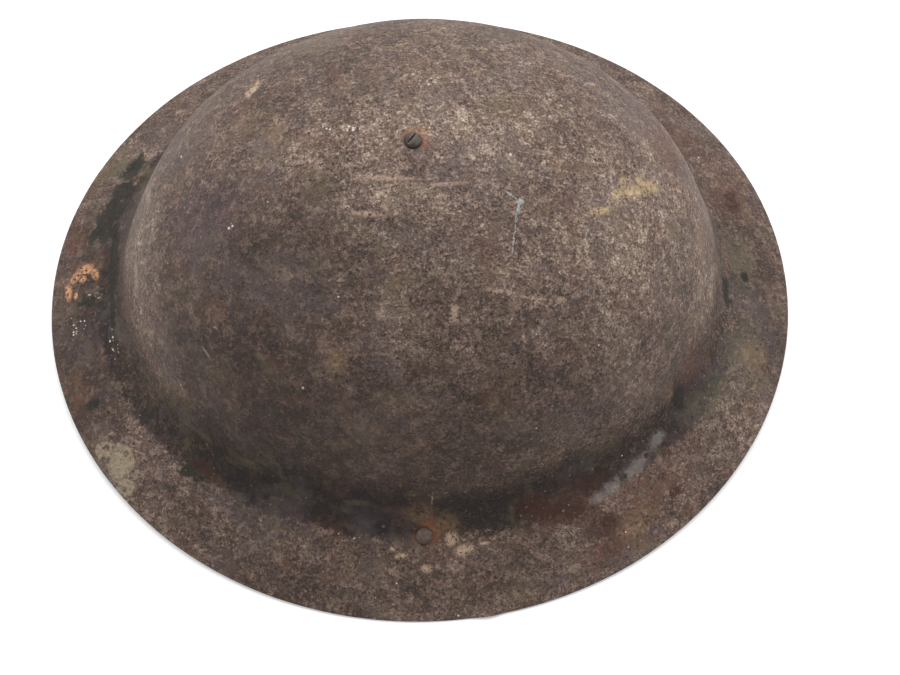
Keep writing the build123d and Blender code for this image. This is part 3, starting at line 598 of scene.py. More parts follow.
def plain_metal(name, dark, light, rust, rust_share, roughness, metallic, soft=0.1):
    """Metal of the fittings: two tones, with rust or tarnish in clouds."""
    metal = Finish(name, roughness, metallic)
    body = metal.cloud(5, 6, 0.65, 21)
    fine = metal.cloud(0.8, 4, 0.7, 22)
    value = metal.times(fine, 0.5, metal.times(body, 0.5))
    colour = metal.tones(metal.between(value, 0.38, 0.62), dark, light)
    rusted = metal.between(metal.cloud(3.2, 6, 0.7, 23, 0.4), 1 - rust_share - soft, 1 - rust_share)
    colour = metal.mix(rusted, colour, tone(*rust))
    bright = metal.times(rusted, -metallic, metallic)
    metal.paint(colour, metal.between(value, 0.3, 0.7, roughness - 0.08, roughness + 0.12), bright)
    metal.relief(metal.plus(value, rusted), 0.12)
    return metal.material


def rubber_finish():
    rubber = Finish("rubber", 0.78)
    value = rubber.cloud(3, 6, 0.65, 31)
    bloom = rubber.between(rubber.cloud(9, 4, 0.6, 32), 0.5, 0.7, 0, 0.4)
    colour = rubber.tones(rubber.between(value, 0.35, 0.65), (34, 31, 30), (58, 53, 50))
    colour = rubber.mix(bloom, colour, tone(92, 86, 78))
    rubber.paint(colour)
    rubber.relief(rubber.plus(value, rubber.cloud(0.5, 2, 0.6, 33)), 0.08)
    return rubber.material


def cloth_finish(name, dark, light, thread, depth, twill):
    """Woven cloth: threads run along the strip's own length and width, kept in the attribute lay."""
    cloth = Finish(name, 0.92)
    lay = cloth.add("Attribute", give="Vector", attribute_name="lay")
    along, over = cloth.parts(lay)[:2]
    slant = cloth.times(cloth.math("ABSOLUTE", over), twill, along)
    warp = cloth.math("SINE", cloth.times(over, 2 * pi / thread))
    weft = cloth.math("SINE", cloth.times(slant, 2 * pi / thread))
    weave = cloth.times(cloth.times(warp, weft), 0.5, 0.5)
    wear = cloth.cloud(12, 5, 0.65, 41)
    colour = cloth.tones(cloth.times(wear, 0.5, cloth.times(weave, 0.5)), dark, light)
    dirty = cloth.between(cloth.cloud(18, 5, 0.7, 42), 0.5, 0.68, 0, 0.6)
    colour = cloth.mix(dirty, colour, tone(60, 48, 36))
    cloth.paint(colour)
    cloth.relief(cloth.times(cloth.cloud(0.4, 2, 0.6, 43), 0.4, weave), depth)
    return cloth.material


def felt_finish():
    felt = Finish("felt", 0.96)
    felt.shader.inputs["Sheen Weight"].default_value = 0.25
    value = felt.cloud(7, 6, 0.7, 51)
    hair = felt.cloud(0.5, 4, 0.8, 52, 1.5)
    matted = felt.times(hair, 0.5, felt.times(value, 0.5))
    colour = felt.tones(felt.between(matted, 0.36, 0.64), (70, 60, 48), (132, 118, 98))
    stain = felt.between(felt.cloud(20, 4, 0.6, 53), 0.5, 0.7, 0, 0.5)
    colour = felt.mix(stain, colour, tone(66, 52, 40))
    felt.paint(colour)
    felt.relief(felt.times(hair, 1.2, value), 0.6)
    return felt.material


def oilcloth_finish():
    oiled = Finish("oilcloth", 0.5)
    value = oiled.cloud(8, 5, 0.65, 61)
    plates = {"Vector": oiled.place, "Scale": 1 / 4.5}
    edge = oiled.add("TexVoronoi", plates, "Distance", feature="DISTANCE_TO_EDGE")
    crack = oiled.between(oiled.times(oiled.cloud(1.5, 4, 0.7, 63), 0.16, edge), 0.12, 0.07)
    worn = oiled.between(oiled.cloud(16, 5, 0.7, 64), 0.5, 0.66)
    colour = oiled.tones(oiled.between(value, 0.35, 0.65), (30, 27, 25), (56, 49, 43))
    colour = oiled.mix(oiled.times(worn, 0.5), colour, tone(98, 82, 62))
    colour = oiled.mix(oiled.times(crack, 0.3), colour, tone(84, 74, 60))
    oiled.paint(colour, oiled.times(worn, 0.3, 0.45))
    oiled.relief(oiled.times(crack, -0.35, value), 0.14)
    return oiled.material


def leather_finish():
    hide = Finish("leather", 0.62)
    grain = hide.between(hide.cells(0.9, 71)[0], 0.15, 0.75)
    value = hide.cloud(14, 5, 0.65, 72)
    colour = hide.tones(hide.between(value, 0.34, 0.66), (66, 40, 26), (118, 78, 50))
    dry = hide.between(hide.cloud(5, 6, 0.72, 73, 0.5), 0.54, 0.7, 0, 0.5)
    colour = hide.mix(dry, colour, tone(142, 108, 76))
    colour = hide.mix(hide.times(grain, 0.25), colour, tone(44, 27, 18))
    hide.paint(colour, hide.between(value, 0.3, 0.7, 0.52, 0.74))
    hide.relief(hide.times(grain, -0.3, hide.cloud(2.5, 5, 0.7, 74)), 0.1)
    return hide.material


def thread_finish():
    thread = Finish("waxed_thread", 0.8)
    value = thread.cloud(0.6, 3, 0.6, 81)
    thread.paint(thread.tones(value, (96, 82, 60), (160, 142, 110)))
    thread.relief(value, 0.05)
    return thread.material


# Steel
def towards(start, end, distance):
    share = distance / hypot(end[0] - start[0], end[1] - start[1])
    return (start[0] + (end[0] - start[0]) * share, start[1] + (end[1] - start[1]) * share)


def meridian(side):
    """Places down one side of the steel's outer face, as reach and height, from the crown to the edge."""
    bowl_half, fold_half, fold_rise, edge_half, edge_rise = side
    depth = crown_rise - bowl_base_rise
    out, down = fold_half / bowl_half, (fold_rise - bowl_base_rise) / depth
    leave = atan2(out, down) - acos(1 / hypot(out, down))
    wall_start = (bowl_half * sin(leave), bowl_base_rise + depth * cos(leave))
    corner, edge = (fold_half, fold_rise), (edge_half, edge_rise)
    wall_end, brim_start = towards(corner, wall_start, fold_reach), towards(corner, edge, fold_reach)
    bowl, wall, bend, brim = station_steps
    places = []
    for i in range(bowl):
        angle = leave * i / bowl
        places.append((bowl_half * sin(angle), bowl_base_rise + depth * cos(angle)))
    for i in range(wall):
        places.append(tuple(a + (b - a) * i / wall for a, b in zip(wall_start, wall_end)))
    for i in range(bend):
        t = i / bend
        places.append(tuple((1 - t) ** 2 * a + 2 * t * (1 - t) * c + t * t * b
                            for a, c, b in zip(wall_end, corner, brim_start)))
    for i in range(brim + 1):
        places.append(tuple(a + (b - a) * i / brim for a, b in zip(brim_start, edge)))
    return [(reach, 0, rise + edge_height) for reach, rise in places]


def steel_tree():
    """Pressed steel between two profiles, one over the ends and one over the sides."""
    tree, bench, given = shape_tree("pressed_steel", {
        "Ends": "Object", "Sides": "Object", "Stations": "Int", "Turns": "Int", "Dent": "Float",
        "Dent size": "Float", "Seed": "Float", "Lump": "Vector", "Lump half": "Float", "Lump height": "Float",
        "Finish": "Material"})
    along = bench.plus(given["Turns"], 1)
    size = {"Size X": 1.0, "Size Y": 1.0, "Vertices X": given["Stations"], "Vertices Y": along}
    grid = bench.shape("MeshGrid", size)
    here = bench.parts(bench.position())
    last = bench.minus(given["Stations"], 1)
    station = bench.math("ROUND", bench.times(bench.plus(here[0], 0.5), last))
    turn = bench.times(bench.plus(here[1], 0.5), 2 * pi)
    sides = []
    for label in ("Ends", "Sides"):
        profile = bench.shape("ObjectInfo", {"Object": given[label]}, "Geometry")
        inputs = {"Geometry": profile, "Value": bench.position(), "Index": station}
        sides.append(bench.parts(bench.shape("SampleIndex", inputs, data_type="FLOAT_VECTOR")))
    cosine, sine = bench.math("COSINE", turn), bench.math("SINE", turn)
    height = bench.add("Mix", {0: bench.times(sine, sine), 2: sides[0][2], 3: sides[1][2]})
    place = bench.point(bench.times(sides[0][0], cosine), bench.times(sides[1][0], sine), height)
    bowl, wall, bend, brim = station_steps
    share = bench.between(station, 0, bowl, 0, 1, smooth=False)
    for start, steps in ((bowl, wall), (bowl + wall, bend), (bowl + wall + bend, brim)):
        share = bench.plus(share, bench.between(station, start, start + steps, 0, 1, smooth=False))
    steel = bench.store(grid, "station", share)
    steel = bench.move(steel, Position=place)
    steel = bench.shape("MergeByDistance", {"Geometry": steel, "Distance": 1e-5})
    position = bench.position()
    scale = bench.over(1.0, given["Dent size"])
    inputs = {"Vector": position, "W": given["Seed"], "Scale": scale, "Detail": 3.0}
    waves = bench.add("TexNoise", inputs, noise_dimensions="4D")
    dent = bench.times(bench.minus(waves, 0.5), given["Dent"])
    off = bench.vector("DISTANCE", position, given["Lump"], give=1)
    lump = bench.times(bench.between(off, given["Lump half"], 0.0), given["Lump height"])
    end_tree(bench, bench.push(steel, bench.plus(dent, lump)), given["Finish"])
    return tree


def make_steel(outside, inside, edge):
    """The helmet's steel: a fine skin with its dents, given its wall and a worn cut edge."""
    ends, sides = (new_object("profile", line_mesh("profile", meridian(side))) for side in (ENDS, SIDES))
    shell = grow("steel_shell", steel_tree(), {
        "Ends": ends, "Sides": sides, "Stations": sum(station_steps) + 1, "Turns": turn_steps,
        "Dent": dent_depth * MM, "Dent size": dent_size * MM, "Seed": 3.0, "Lump": rust_lump * MM,
        "Lump half": lump_half * MM, "Lump height": lump_height * MM, "Finish": outside})
    bpy.data.objects.remove(ends)
    bpy.data.objects.remove(sides)
    mark_steel(shell.data)
    shell.data.materials.append(inside)
    shell.data.materials.append(edge)
    wall = shell.modifiers.new("wall", "SOLIDIFY")
    wall.thickness, wall.offset, wall.use_even_offset = sheet * MM, -1, True
    wall.material_offset, wall.material_offset_rim = 1, 2
    round_edge = shell.modifiers.new("round_edge", "BEVEL")
    round_edge.width, round_edge.segments, round_edge.limit_method = edge_rounding * MM, 2, "ANGLE"
    round_edge.angle_limit = radians(60)
    settle(shell)
    return place_piece(shell, "helmet", "rusted_paint", "shell")


steel_paint = rusted_paint()
inner_paint = plain_metal("inner_paint", (50, 43, 38), (84, 73, 63), (80, 55, 43), 0.36, 0.75, 0.0, 0.3)
worn_edge = plain_metal("worn_edge", (92, 88, 86), (136, 132, 130), (84, 58, 46), 0.42, 0.5, 0.35)
fastener_metal = plain_metal("fastener_metal", (52, 40, 36), (112, 94, 88), (112, 74, 54), 0.34, 0.6, 0.1)
liner_metal = plain_metal("liner_steel", (42, 40, 37), (70, 66, 60), (86, 54, 38), 0.40, 0.55, 0.5)
brass = plain_metal("tarnished_brass", (92, 72, 38), (150, 122, 68), (62, 54, 40), 0.42, 0.42, 0.85)
thread = thread_finish()
make_steel(steel_paint, inner_paint, worn_edge)

screw_metal = plain_metal("screw_metal", (38, 32, 30), (96, 84, 76), (88, 58, 44), 0.22, 0.5, 0.35)
finishes = {
    screw_metal: ("crown_screw",),
    fastener_metal: ("right_lug_rivet", "left_lug_rivet"),
    liner_metal: ("crown_plate", "crown_nut", "headband", "strap_rivets", "buffer_rivets",
                  "right_lug", "left_lug", "right_loop", "left_loop"),
    brass: ("long_strap_stud", "short_strap_studs", "buckle_frame", "buckle_prong"),
    rubber_finish(): ("crown_washer", "buffers"),
}
for finish, names in finishes.items():
    for name in names:
        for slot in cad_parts[name].material_slots:
            slot.material = finish


# Straps of webbing and leather
def strap_tree():
    """A flat strap with rounded edges swept along a line, with a wavy surface and its lay for the weave."""
    tree, bench, given = shape_tree("strap", {
        "Width": "Float", "Thickness": "Float", "Edge": "Float", "Step": "Float", "Point length": "Float",
        "Point half": "Float", "Middle": "Float", "Wave": "Float", "Seed": "Float", "Finish": "Material"})
    line = bench.shape("MeshToCurve", {0: given["Geometry"]})
    line = bench.shape("ResampleCurve", {"Curve": line, "Length": given["Step"]}, mode="LENGTH")
    far = bench.shape("SplineParameter", give="Length")
    total = bench.shape("SplineLength", give="Length")
    left = bench.minus(total, far)
    line = bench.store(line, "along", far)
    line = bench.store(line, "left", left)
    size = {"Width": given["Width"], "Height": given["Thickness"]}
    section = bench.shape("CurvePrimitiveQuadrilateral", size)
    section = bench.shape("FilletCurve", {"Curve": section, "Count": 3, "Radius": given["Edge"]}, mode="POLY")
    section = bench.shape("ResampleCurve", {"Curve": section, "Count": 56}, mode="COUNT")
    flat = bench.parts(bench.position())
    section = bench.store(section, "over", flat[0])
    strap = bench.shape("CurveToMesh", {"Curve": line, "Profile Curve": section, "Fill Caps": True})
    strap = bench.shape("MergeByDistance", {"Geometry": strap, "Distance": 1e-6})
    along, over, rest = (
        bench.shape("InputNamedAttribute", {"Name": name}, data_type="FLOAT")
        for name in ("along", "over", "left"))
    lay = bench.point(bench.over(along, MM), bench.over(over, MM))
    strap = bench.store(strap, "lay", lay, "FLOAT_VECTOR")
    # The end narrows to a blunt point
    position = bench.position()
    place = bench.parts(position)
    half = bench.over(given["Width"], 2.0)
    narrow = bench.over(given["Point half"], half)
    share = bench.between(rest, 0.0, given["Point length"], narrow, 1.0, smooth=False)
    offset = bench.minus(place[0], given["Middle"])
    pulled = bench.times(offset, share, given["Middle"])
    near_end = bench.node("FunctionNodeCompare", {"A": rest, "B": given["Point length"]},
                          data_type="FLOAT", operation="LESS_THAN")
    strap = bench.move(strap, Selection=near_end, Position=bench.point(pulled, place[1], place[2]))
    inputs = {"Vector": position, "W": given["Seed"], "Scale": 1 / (wave_length * MM), "Detail": 2.0}
    waves = bench.add("TexNoise", inputs, noise_dimensions="4D")
    depth = bench.times(bench.minus(waves, 0.5), given["Wave"])
    end_tree(bench, bench.push(strap, depth), given["Finish"])
    return tree


def stitch_tree():
    """Short fat stitches along a line."""
    tree, bench, given = shape_tree("stitches", {
        "Pitch": "Float", "Length": "Float", "Thickness": "Float", "Finish": "Material"})
    line = bench.shape("MeshToCurve", {0: given["Geometry"]})
    line = bench.shape("ResampleCurve", {"Curve": line, "Length": given["Pitch"]}, mode="LENGTH")
    stitch = bench.shape("MeshUVSphere", {"Segments": 6, "Rings": 4, "Radius": 0.5}, "Mesh")
    size = bench.point(given["Thickness"], given["Thickness"], given["Length"])
    stitch = bench.shape("Transform", {"Geometry": stitch, "Scale": size})
    tangent = bench.shape("InputTangent")
    turn = bench.node("FunctionNodeAlignRotationToVector", {"Vector": tangent}, axis="Z")
    stitches = bench.shape("InstanceOnPoints", {"Points": line, "Instance": stitch, "Rotation": turn})
    stitches = bench.shape("RealizeInstances", {0: stitches})
    stitches = bench.shape("SetShadeSmooth", {"Geometry": stitches})
    end_tree(bench, stitches, given["Finish"])
    return tree


def curve_points(start, first, second, end, steps):
    """Points of a smooth bend with two pulling points."""
    points = []
    for i in range(steps):
        t = i / steps
        weights = ((1 - t) ** 3, 3 * t * (1 - t) ** 2, 3 * t * t * (1 - t), t ** 3)
        pulls = (Vector(point) * weight for point, weight in zip((start, first, second, end), weights))
        points.append(sum(pulls, Vector((0, 0))))
    return points


def webbing_line(middle, height, band_half):
    """The middle line of a cross strap, as places along its own upright plane and heights."""
    def leg(rise):
        return band_half - (rise - band_bottom) * band_taper + leg_stand_off

    halves = []
    for side in (1, -1):
        flat_end = Vector((middle + side * crossing_half, height))
        corner = Vector((side * leg(height), height))
        leg_start = Vector((side * leg(leg_top), leg_top))
        bend = curve_points(flat_end, flat_end.lerp(corner, webbing_curve_share),
                            leg_start.lerp(corner, webbing_curve_share), leg_start, 40)
        halves.append(bend + [leg_start, Vector((side * leg(leg_bottom), leg_bottom))])
    return halves[0][::-1] + halves[1]


STRAP, STITCHES = strap_tree(), stitch_tree()
webbing = cloth_finish("webbing", (74, 64, 46), (128, 114, 86), 1.3, 0.18, 1.0)
hide = leather_finish()


def make_strap(name, points, sizes, finish, point=(0.0, 0.0), wave=0.0, seed=0.0):
    """A strap along a line; sizes are its width, its thickness and how round its edges are."""
    width, thickness, edge = sizes
    return grow(name, STRAP, {
        "Width": width * MM, "Thickness": thickness * MM, "Edge": edge * MM, "Step": strap_step * MM,
        "Point length": point[0] * MM, "Point half": point[1] * MM, "Middle": lug_x * MM,
        "Wave": wave * MM, "Seed": seed, "Finish": finish}, line_mesh(name, points))


def make_webbing():
    """The two cross straps: the long one over the short one."""
    long_line = webbing_line(crown_hole.x, long_webbing_height, band_half_length)
    short_line = webbing_line(crown_hole.y, short_webbing_height, band_half_width)
    lines = {"cross_strap_long": [(x, crown_hole.y, z) for x, z in long_line],
             "cross_strap_short": [(crown_hole.x, y, z) for y, z in short_line]}
    for name, line in lines.items():
        strap = make_strap(name + "_webbing", line, (webbing_width, webbing_thickness, 0.5), webbing)
        place_piece(strap, "helmet", "webbing", name)


def sew(name, lines, body):
    """Stitches along several lines, as one piece."""
    values = {"Pitch": stitch_pitch * MM, "Length": stitch_length * MM, "Thickness": stitch_thickness * MM}
    stitches = grow(name, STITCHES, {**values, "Finish": thread}, line_mesh(name, *lines))
    return place_piece(stitches, body, "leather")


def cut_away(piece, tool, finish):
    """Takes a tool's shape out of a piece."""
    mesh = bpy.data.meshes.new("tool")
    tool.to_mesh(mesh)
    tool.free()
    mesh.materials.append(finish)
    cutter = new_object("tool", mesh)
    cut = piece.modifiers.new("cut", "BOOLEAN")
    cut.operation, cut.object, cut.solver, cut.use_self = "DIFFERENCE", cutter, "EXACT", True
    settle(piece)
    bpy.data.objects.remove(cutter)


def punch(piece, places, across, finish):
    """Round holes through a piece, one at each place."""
    tool = bmesh.new()
    radius, depth = across / 2 * MM, 12 * MM
    for place in places:
        bmesh.ops.create_cone(tool, cap_ends=True, segments=24, radius1=radius, radius2=radius, depth=depth,
                              matrix=Matrix.Translation(Vector(place) * MM))
    cut_away(piece, tool, finish)


def arc(reach, height, radius, start, end, steps=12):
    """Points round an arc in the strap's upright plane, angles in degrees from straight outwards."""
    turns = [radians(start + (end - start) * i / steps) for i in range(steps + 1)]
    return [(reach + radius * cos(turn), height + radius * sin(turn)) for turn in turns]


def strap_places(line, side=0):
    """Places of points given as reach and height; side 1 or -1 moves them out to a seam."""
    return [(lug_x + side * seam_half, y, z) for y, z in line]


def make_long_half():
    """The long half: lap, wrap round the loop, run to the fold and back to the point."""
    fold_place = long_reach - bar_reach
    tip = fold_place - long_return
    fold_top = ply_low + 2 * fold_radius
    rest_height = floor_gap + leather + return_lift + leather / 2
    line = [(-bar_reach + lap_length, ply_high), (-bar_reach + lap_taper, ply_high)]
    line.append((-bar_reach + shoulder, ply_high + shoulder_lift))
    line += arc(-bar_reach, bar_height, bar_wrap, 90, 270)
    line.append((-bar_reach + lap_taper, ply_low))
    line += arc(fold_place, ply_low + fold_radius, fold_radius, -90, 90)
    settle_steps = 12
    for i in range(1, settle_steps + 1):
        t = i / settle_steps
        ease = t * t * (3 - 2 * t)
        line.append((fold_place - long_settle * t, fold_top + (rest_height - fold_top) * ease))
    line.append((tip, rest_height))
    strap = make_strap("long_strap_leather", strap_places(line), leather_sizes, hide,
                       (strap_point, strap_point_half), 0.25, 4.0)
    holes = [(tip + hole_start + hole_pitch * i, rest_height) for i in range(hole_count)]
    punch(strap, strap_places(holes), hole_across, hide)
    punch(strap, strap_places([(stud_place - bar_reach, ply_high)]), stud_head, hide)
    place_piece(strap, "right_strap", "leather", "long_strap")
    seam_start, seam_end = -bar_reach + seam_gap + 0.5, -bar_reach + lap_length - 2
    rows = [strap_places([(seam_start, z), (seam_end, z)], side) for side in (1, -1) for z in seam_heights]
    rows += [[(lug_x + x, seam_end, z) for x in (-seam_half, seam_half)] for z in seam_heights]
    sew("long_strap_stitches", rows, "right_strap")


def make_short_half():
    """The short half, doubled between the left loop and the buckle, with a notch for the prong."""
    buckle_reach = bar_reach - short_reach
    middle = buckle_reach + short_reach / 2
    line = [(middle + end_gap, ply_high), (bar_reach - lap_taper, ply_high)]
    line.append((bar_reach - shoulder, ply_high + shoulder_lift))
    line += arc(bar_reach, bar_height, bar_wrap, 90, -90)
    line += [(bar_reach - lap_taper, ply_low), (buckle_reach + lap_taper, ply_low)]
    line += arc(buckle_reach, bar_height, bar_wrap, 270, 90)
    line += [(buckle_reach + shoulder, ply_high + shoulder_lift), (buckle_reach + lap_taper, ply_high)]
    line.append((middle - end_gap, ply_high))
    strap = make_strap("short_strap_leather", strap_places(line), leather_sizes, hide, wave=0.2, seed=7.0)
    tool = bmesh.new()
    at_bar = Matrix.Translation(Vector((lug_x, buckle_reach, bar_height)) * MM)
    size = Matrix.Diagonal((notch_width * MM, notch_depth * MM, notch_depth * MM, 1))
    bmesh.ops.create_cube(tool, size=1, matrix=at_bar @ size)
    cut_away(strap, tool, hide)
    studs = [(bar_reach - stud_place, ply_high), (buckle_reach + stud_place, ply_high)]
    punch(strap, strap_places(studs), stud_head, hide)
    place_piece(strap, "left_strap", "leather", "short_strap")
    seam_start, seam_end = buckle_reach + seam_gap, bar_reach - seam_gap
    rows = [strap_places([(seam_start, z), (seam_end, z)], side) for side in (1, -1) for z in seam_heights]
    sew("short_strap_stitches", rows, "left_strap")


# Liner
def keep_lay(mesh, places):
    """Gives each point its place on the cloth, in millimetres."""
    own = mesh.attributes.new("lay", "FLOAT_VECTOR", "POINT")
    own.data.foreach_set("vector", [number for place in places for number in place])


def ring_mesh(name, rows, lay):
    """A closed surface through rows of points."""
    mesh = bpy.data.meshes.new(name)
    count = len(rows[0])
    faces = []
    for base in range(0, (len(rows) - 1) * count, count):
        for i in range(count):
            j = (i + 1) % count
            faces.append((base + i, base + j, base + count + j, base + count + i))
    mesh.from_pydata([Vector(p) * MM for row in rows for p in row], [], faces)
    keep_lay(mesh, [place for row in lay for place in row])
    mesh.shade_smooth()
    return mesh


def thicken(piece, thickness, finish):
    """Gives a surface its wall, its rounded rim and its finish."""
    piece.data.materials.append(finish)
    wall = piece.modifiers.new("wall", "SOLIDIFY")
    wall.thickness, wall.offset, wall.use_even_offset = thickness * MM, -1, True
    rim = piece.modifiers.new("rim", "BEVEL")
    rim.width, rim.segments = thickness * 0.3 * MM, 2
    rim.limit_method, rim.angle_limit = "ANGLE", radians(50)
    return settle(piece)


def oval_length(half_length, half_width):
    """The length round an oval."""
    root = sqrt((3 * half_length + half_width) * (half_length + 3 * half_width))
    return pi * (3 * (half_length + half_width) - root)


def wobble(turn, phase, size):
    """Small uneven waves round a ring."""
    waves = sin(5 * turn + phase) * 0.5 + sin(11 * turn + 2.3 * phase) * 0.3
    return size * (waves + sin(17 * turn + phase * 0.7) * 0.2)


def band_place(turn, shrink, height):
    """A place round the headband, drawn in from its outer face at the bottom."""
    return (band_half_length - shrink) * cos(turn), (band_half_width - shrink) * sin(turn), height


def make_sweatband(oiled):
    """The waxed band inside the headband, with its stitches along the lower edge."""
    turns, heights = 240, 15
    mean_radius = 90               # for the threads' place round the band
    sag, unevenness = 0.25, 0.22
    seam_rise, seam_inset = 2.5, 0.3
    low, high = band_bottom + 1.0, band_top
    wall = sweatband_thickness * 0.8
    rows, lay = [], []
    for r in range(heights + 1):
        z = low + (high - low) * r / heights
        shrink = sweatband_inset + (z - band_bottom) * band_taper
        row, row_lay = [], []
        for i in range(turns):
            turn = 2 * pi * i / turns
            row.append(band_place(turn, shrink + sag + wobble(turn, r * 0.25, unevenness), z))
            row_lay.append((turn * mean_radius, z, 0))
        rows.append(row)
        lay.append(row_lay)
    band = new_object("sweatband_cloth", ring_mesh("sweatband_cloth", rows, lay))
    thicken(band, wall, oiled)
    place_piece(band, "helmet", "oilcloth", "sweatband")
    shrink = sweatband_inset + wall + seam_inset + (seam_rise + 1.0) * band_taper
    ring = [band_place(2 * pi * i / turns, shrink, low + seam_rise) for i in range(turns + 1)]
    seam = sew("sweatband_stitches", [ring], "helmet")


def make_tongues(oiled):
    """The oilcloth dome cut into tongues, whose tips curl a little."""
    half_length, half_width = band_half_length - tongue_inset, band_half_width - tongue_inset
    top_turn = acos(tongue_mouth_half_length / half_length)
    steps, columns, tip_steps = 44, 36, 8
    tip_corner, slit_opening = 5.0, 3.0
    curl_start, curl_depth, buckle_depth = 0.55, 4.8, 0.35
    cloth_length = 74.0            # up the longest tongue, along its curve, with 2 mm to spare
    mesh = bpy.data.meshes.new("tongues_cloth")
    points, faces, lay = [], [], []
    for k in range(tongue_count):
        first, last = (2 * pi * (k + s + 0.5) / tongue_count for s in (0, 1))
        middle = Vector((half_length * cos((first + last) / 2), half_width * sin((first + last) / 2))).length
        base = len(points)
        for r in range(steps + 1):
            rise = top_turn * r / steps
            z = tongue_bottom + tongue_rise * sin(rise)
            reach = cos(rise)
            opened = min(1.0, max(0.0, (z - tongue_root + slit_opening / 2) / slit_opening))
            # Rounded corners at the tip
            tip = max(0.0, (r - steps + tip_steps) / tip_steps)
            corner = tip_corner * (1 - sqrt(max(0.0, 1 - tip * tip)))
            slit = (tongue_slit / 2 * sin(opened * pi / 2) + corner) / (middle * reach)
            curl = curl_depth * max(0.0, r / steps - curl_start) ** 2 * (0.6 + 0.4 * sin(k * 2.1))
            for c in range(columns + 1):
                angle = first + slit + (last - first - 2 * slit) * c / columns
                polar = 1 / sqrt((cos(angle) / half_length) ** 2 + (sin(angle) / half_width) ** 2)
                out = reach * polar - buckle_depth * sin(pi * c / columns) * sin(3 * rise + k)
                points.append(Vector((out * cos(angle), out * sin(angle), z - curl)) * MM)
                lay.append((angle * 80, rise * 60, 0))
        for r in range(steps):
            for c in range(columns):
                a = base + r * (columns + 1) + c
                faces.append((a, a + 1, a + columns + 2, a + columns + 1))
    mesh.from_pydata(points, [], faces)
    keep_lay(mesh, lay)
    body = bmesh.new()
    body.from_mesh(mesh)
    bmesh.ops.remove_doubles(body, verts=body.verts, dist=1e-6)
    body.to_mesh(mesh)
    area = sum(face.calc_area() for face in body.faces)
    body.free()
    mesh.shade_smooth()
    cloth = new_object("tongues_cloth", mesh)
    thicken(cloth, tongue_thickness, oiled)
    place_piece(cloth, "helmet", "oilcloth", "lining_tongues")
    flat = (oval_length(half_length, half_width) * MM, cloth_length * MM)


def make_crown_pad(felt):
    """The felt pad: the solid drawn in a little, then filled out again as cloth over a light stuffing."""
    pressure, stiffness, last_frame = 4.0, 40.0, 15
    pad = new_object("crown_pad_felt", bpy.data.objects["crown_pad"].data.copy())
    pad.data.materials.clear()
    pad.data.materials.append(felt)
    body = bmesh.new()
    body.from_mesh(pad.data)
    bmesh.ops.remove_doubles(body, verts=body.verts, dist=1e-6)
    body.normal_update()
    for vert in body.verts:
        vert.co -= vert.normal * pad_draw_in * MM
    body.to_mesh(pad.data)
    body.free()
    voxels = pad.modifiers.new("even faces", "REMESH")
    voxels.mode, voxels.voxel_size = "VOXEL", 2.5 * MM
    settle(pad)
    start = [vert.co.copy() for vert in pad.data.vertices]
    cloth = pad.modifiers.new("stuffing", "CLOTH").settings
    cloth.use_pressure, cloth.uniform_pressure_force = True, pressure
    cloth.effector_weights.gravity = 0.0
    cloth.tension_stiffness = cloth.compression_stiffness = stiffness
    for frame_number in range(1, last_frame + 1):
        bpy.context.scene.frame_set(frame_number)
    settle(pad)
    bpy.context.scene.frame_set(1)
    for vert, place in zip(pad.data.vertices, start):
        move = vert.co - place
        if move.length > pad_swell * MM:
            vert.co = place + move.normalized() * pad_swell * MM
    rounder = pad.modifiers.new("rounder", "SMOOTH")
    rounder.factor, rounder.iterations = 0.5, 3
    finer = pad.modifiers.new("finer", "SUBSURF")
    finer.levels = finer.render_levels = 1
    settle(pad)
    pad.data.shade_smooth()
    place_piece(pad, "helmet", "felt", "crown_pad")


make_webbing()
make_crown_pad(felt_finish())
make_long_half()
make_short_half()
oiled = oilcloth_finish()
make_sweatband(oiled)
make_tongues(oiled)


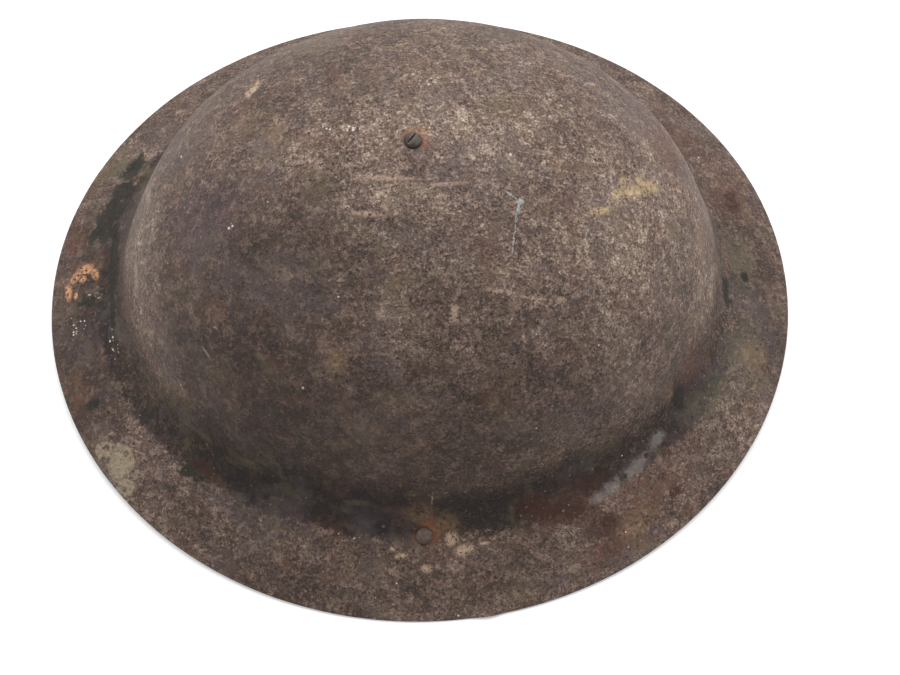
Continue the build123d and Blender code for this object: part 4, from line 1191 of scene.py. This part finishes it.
# Floor, light and camera
def floor_and_light():
    """A pale floor and surround that the camera sees brighter than they light the steel, and three lamps."""
    half = 3.0
    mesh = bpy.data.meshes.new("floor")
    corners = [(-half, -half, 0), (half, -half, 0), (half, half, 0), (-half, half, 0)]
    mesh.from_pydata(corners, [], [(0, 1, 2, 3)])
    floor = new_object("floor", mesh)
    pale = bpy.data.materials.new("pale_floor")
    pale.use_nodes = True
    bench = Bench(pale.node_tree)
    shader = pale.node_tree.nodes["Principled BSDF"].inputs
    shader["Base Color"].default_value = (0.82, 0.82, 0.82, 1)
    shader["Roughness"].default_value = 0.9
    shader["Specular IOR Level"].default_value = 0.0
    shader["Emission Color"].default_value = (1, 1, 1, 1)
    pale.node_tree.links.new(bench.times(bench.seen_directly(), 0.30), shader["Emission Strength"])
    floor.data.materials.append(pale)

    world = bpy.data.worlds.new("studio")
    bpy.context.scene.world = world
    world.use_nodes = True
    bench = Bench(world.node_tree)
    surround = world.node_tree.nodes["Background"].inputs
    surround["Color"].default_value = (1, 1, 1, 1)
    strength = bench.between(bench.seen_directly(), 0, 1, 0.24, 1.0, smooth=False)
    world.node_tree.links.new(strength, surround["Strength"])

    lamps = (("overhead", (0.1, 0.55, 1.5), 1.3, 25.0), ("left", (-1.3, 0.25, 0.75), 0.9, 6.0),
             ("right", (1.35, 0.2, 0.85), 0.9, 7.0))
    for name, place, size, power in lamps:
        light = bpy.data.lights.new(name, "AREA")
        light.energy, light.size = power, size
        lamp = new_object(name, light)
        lamp.location = place
        lamp.rotation_euler = (Vector((0, 0, 0.05)) - Vector(place)).to_track_quat("-Z", "Y").to_euler()


def set_camera():
    """The photograph's own view: a phone held nearly over the helmet."""
    elevation, azimuth, roll = radians(66.19), radians(-5.75), radians(2.92)
    distance, shift_right, shift_up, aim_height = 448.56, 12.92, -38.52, 40
    back = Vector((sin(azimuth) * cos(elevation), -cos(azimuth) * cos(elevation), sin(elevation)))
    level_right = Vector((cos(azimuth), sin(azimuth), 0))
    level_up = back.cross(level_right)
    right = level_right * cos(roll) + level_up * sin(roll)
    up = level_up * cos(roll) - level_right * sin(roll)
    place = Vector((0, 0, aim_height + edge_height)) + back * distance
    place += level_right * shift_right + level_up * shift_up
    lens = bpy.data.cameras.new("camera")
    lens.lens, lens.sensor_width, lens.sensor_fit = 44.32, 36.0, "HORIZONTAL"
    lens.clip_start, lens.clip_end = 0.01, 20
    camera = new_object("camera", lens)
    camera.matrix_world = Matrix.Translation(place * MM) @ Matrix((right, up, back)).transposed().to_4x4()
    bpy.context.scene.camera = camera


floor_and_light()
set_camera()
bpy.context.scene.view_settings.view_transform = "Standard"
